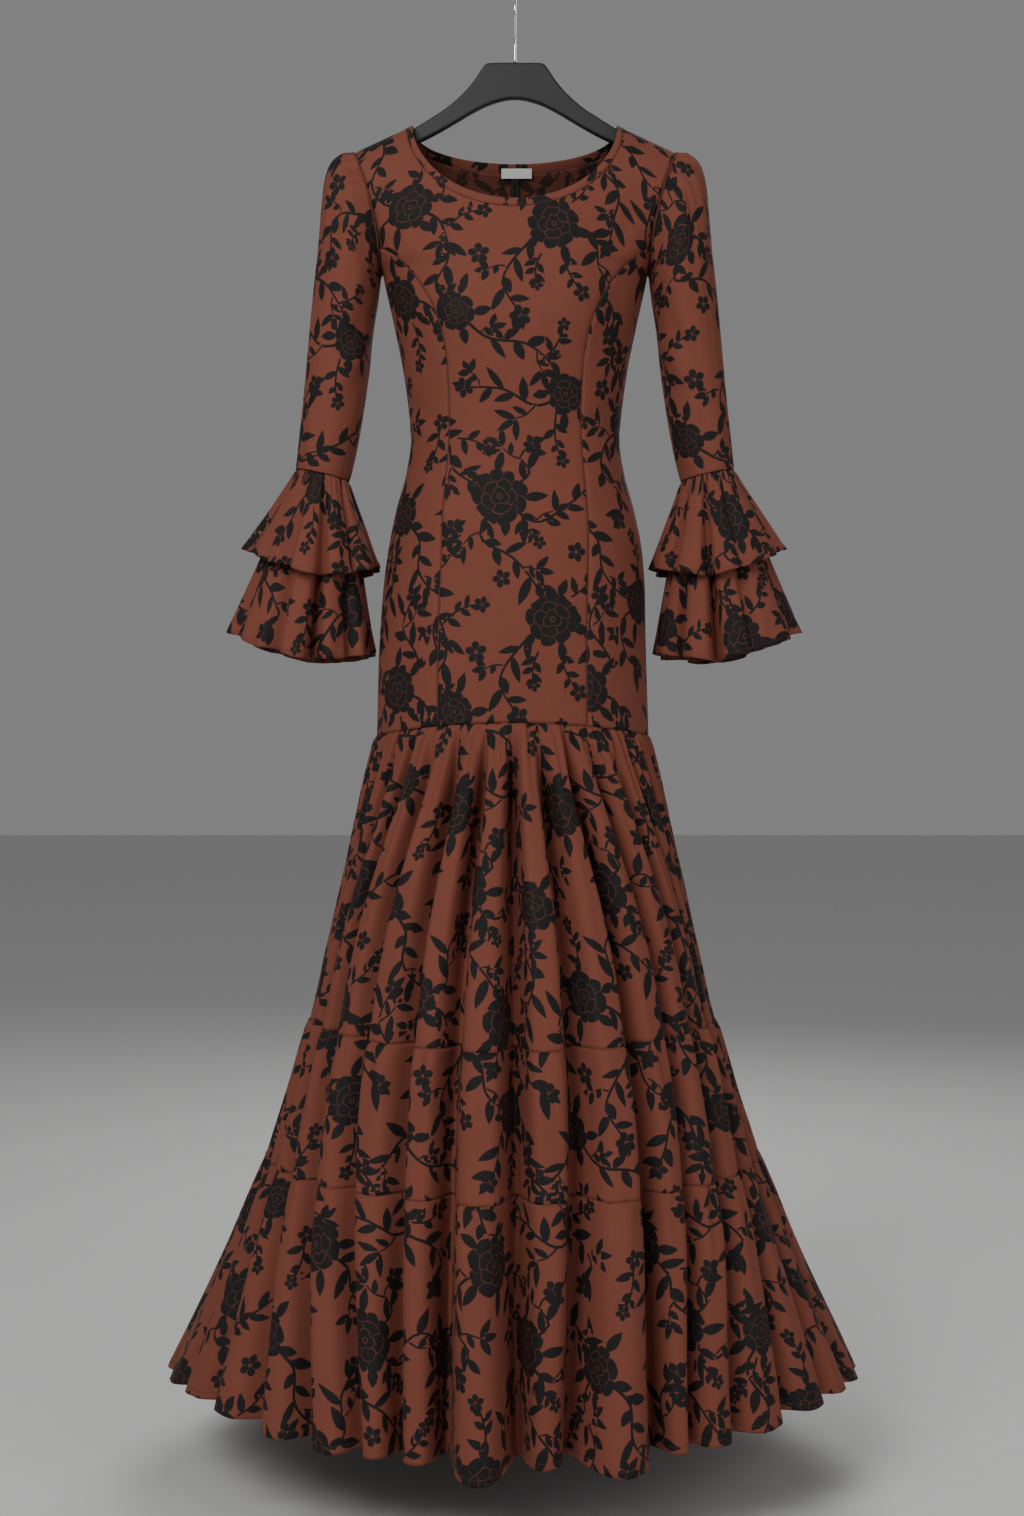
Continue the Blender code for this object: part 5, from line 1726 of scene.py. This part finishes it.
HANGER_THICK = 11
HANGER_EDGE = 3
HANGER_UNDER_SHOULDER = 4.2
HANGER_SHOULDERS = (128, 150, 168, 174)
HANGER_TIP = ((174, 13), (160, 11))
HANGER_TOP = (
    (0, 78), (31, 78), (36, 80), (41, 87), (50, 101), (62, 115), (80, 131), (100, 144), (117, 154.5),
)
HANGER_UNDERSIDE = ((0, 121), (12, 122), (31, 127.5), (50, 137), (68, 148), (92, 162), (112, 172), (135, 182))
WIRE = 3.5
HOOK_BEND = 18
HOOK_TURNS = (-40, 180)
SHANK_TOP = 60
SHANK_PULLS = (17, 22)


class DRESS_OT_hanger(bpy.types.Operator):
    """Make the moulded hanger and its wire hook"""

    bl_idname = "dress.hanger"
    bl_label = "Hanger and hook"

    def execute(self, context):
        self.body()
        self.hook()
        return {"FINISHED"}

    def outline(self):
        """The hanger's outline in (x, z), anticlockwise from the front, with its corners cut twice."""
        shoulders = [(x, float(shoulder_drop(x)) + HANGER_UNDER_SHOULDER) for x in HANGER_SHOULDERS]
        tip = [(x, shoulders[-1][1] + drop) for x, drop in HANGER_TIP]
        half = [*HANGER_TOP, *shoulders, *tip, *HANGER_UNDERSIDE[::-1]]
        loop = np.array([(x, -drop) for x, drop in half] + [(-x, -drop) for x, drop in half[::-1] if x > 0])
        loop = loop[::-1]
        for _ in range(2):
            ahead = np.roll(loop, -1, axis=0)
            loop = np.stack([0.75 * loop + 0.25 * ahead, 0.25 * loop + 0.75 * ahead], axis=1).reshape(-1, 2)
        return loop

    def body(self):
        loop = self.outline()
        tangent = unit(np.roll(loop, -1, axis=0) - np.roll(loop, 1, axis=0))
        inward = np.stack([-tangent[:, 1], tangent[:, 0]], -1)
        turns = np.radians(np.linspace(-90, 90, 9))[:, None]
        sink = HANGER_EDGE * (1 - np.cos(turns))
        x = loop[:, 0] + inward[:, 0] * sink
        z = loop[:, 1] + inward[:, 1] * sink
        flat = HANGER_THICK / 2 - HANGER_EDGE
        y = flat * np.sign(np.round(turns, 6)) + HANGER_EDGE * np.sin(turns) + 0 * x
        points = np.stack([x, y, z], -1)
        rows, columns = points.shape[:2]
        faces = number_faces(rows, columns, True).tolist()
        faces.append(list(range(columns)))
        faces.append(list(range((rows - 1) * columns, rows * columns))[::-1])
        mesh = bpy.data.meshes.new("hanger_body")
        mesh.from_pydata((points.reshape(-1, 3) * MM).tolist(), [], faces)
        smooth = np.ones(len(faces), bool)
        smooth[-2:] = False
        mesh.polygons.foreach_set("use_smooth", smooth)
        obj = link("hanger_body", mesh)
        merge(obj)
        finish(obj, charcoal, "hanger_charcoal", "hanger")

    def hook(self):
        bend = HOOK_BEND + WIRE / 2
        start, end = HOOK_TURNS
        turns = np.radians(np.linspace(start, end, 64))
        over = np.stack([0 * turns, bend * np.cos(turns), bend * np.sin(turns) - HOOK_BEND], -1)
        below, above = SHANK_PULLS
        shank = np.array([0, 0, -float(SHANK_TOP)])
        handles = (over[-1], over[-1] - [0, 0, below], shank + [0, 0, above], shank)
        t = np.linspace(0, 1, 24)[1:, None]
        weights = ((1 - t) ** 3, 3 * t * (1 - t) ** 2, 3 * t * t * (1 - t), t**3)
        down = sum(weight * handle for weight, handle in zip(weights, handles))
        straight = np.array([[0, 0, z] for z in np.linspace(-SHANK_TOP - 3, SEAM - HANGER_TOP[0][1], 5)])
        route = np.concatenate([over, down, straight])
        run = arc(route, 0)
        radius = WIRE / 2 * np.sqrt(np.clip(1 - (1 - np.clip(run / 1.7, 0, 1)) ** 2, 0.02, 1))
        finish(tube("hook_wire", route, radius, 16), chrome, "hook_chrome", "hook")


OPERATORS = (
    DRESS_OT_stage,
    DRESS_OT_bodice,
    DRESS_OT_neck,
    DRESS_OT_sleeves,
    DRESS_OT_ruffles,
    DRESS_OT_skirt,
    DRESS_OT_seams,
    DRESS_OT_back_fittings,
    DRESS_OT_hanger,
)


# ================================================================ the add-on
class DRESS_PT_panel(bpy.types.Panel):
    bl_idname = "DRESS_PT_panel"
    bl_label = "Flamenco dress"
    bl_space_type = "VIEW_3D"
    bl_region_type = "UI"
    bl_category = "Dress"

    def draw(self, context):
        for name in DressSettings.__annotations__:
            self.layout.prop(context.scene.dress, name)
        for operator in OPERATORS:
            self.layout.operator(operator.bl_idname)


CLASSES = (DressSettings, *OPERATORS, DRESS_PT_panel)


def register():
    for each in CLASSES:
        bpy.utils.register_class(each)
    bpy.types.Scene.dress = PointerProperty(type=DressSettings)


def unregister():
    del bpy.types.Scene.dress
    for each in reversed(CLASSES):
        bpy.utils.unregister_class(each)


def main():
    register()
    for operator in OPERATORS:
        group, name = operator.bl_idname.split(".")
        getattr(getattr(bpy.ops, group), name)()


if __name__ == "__main__":
    main()
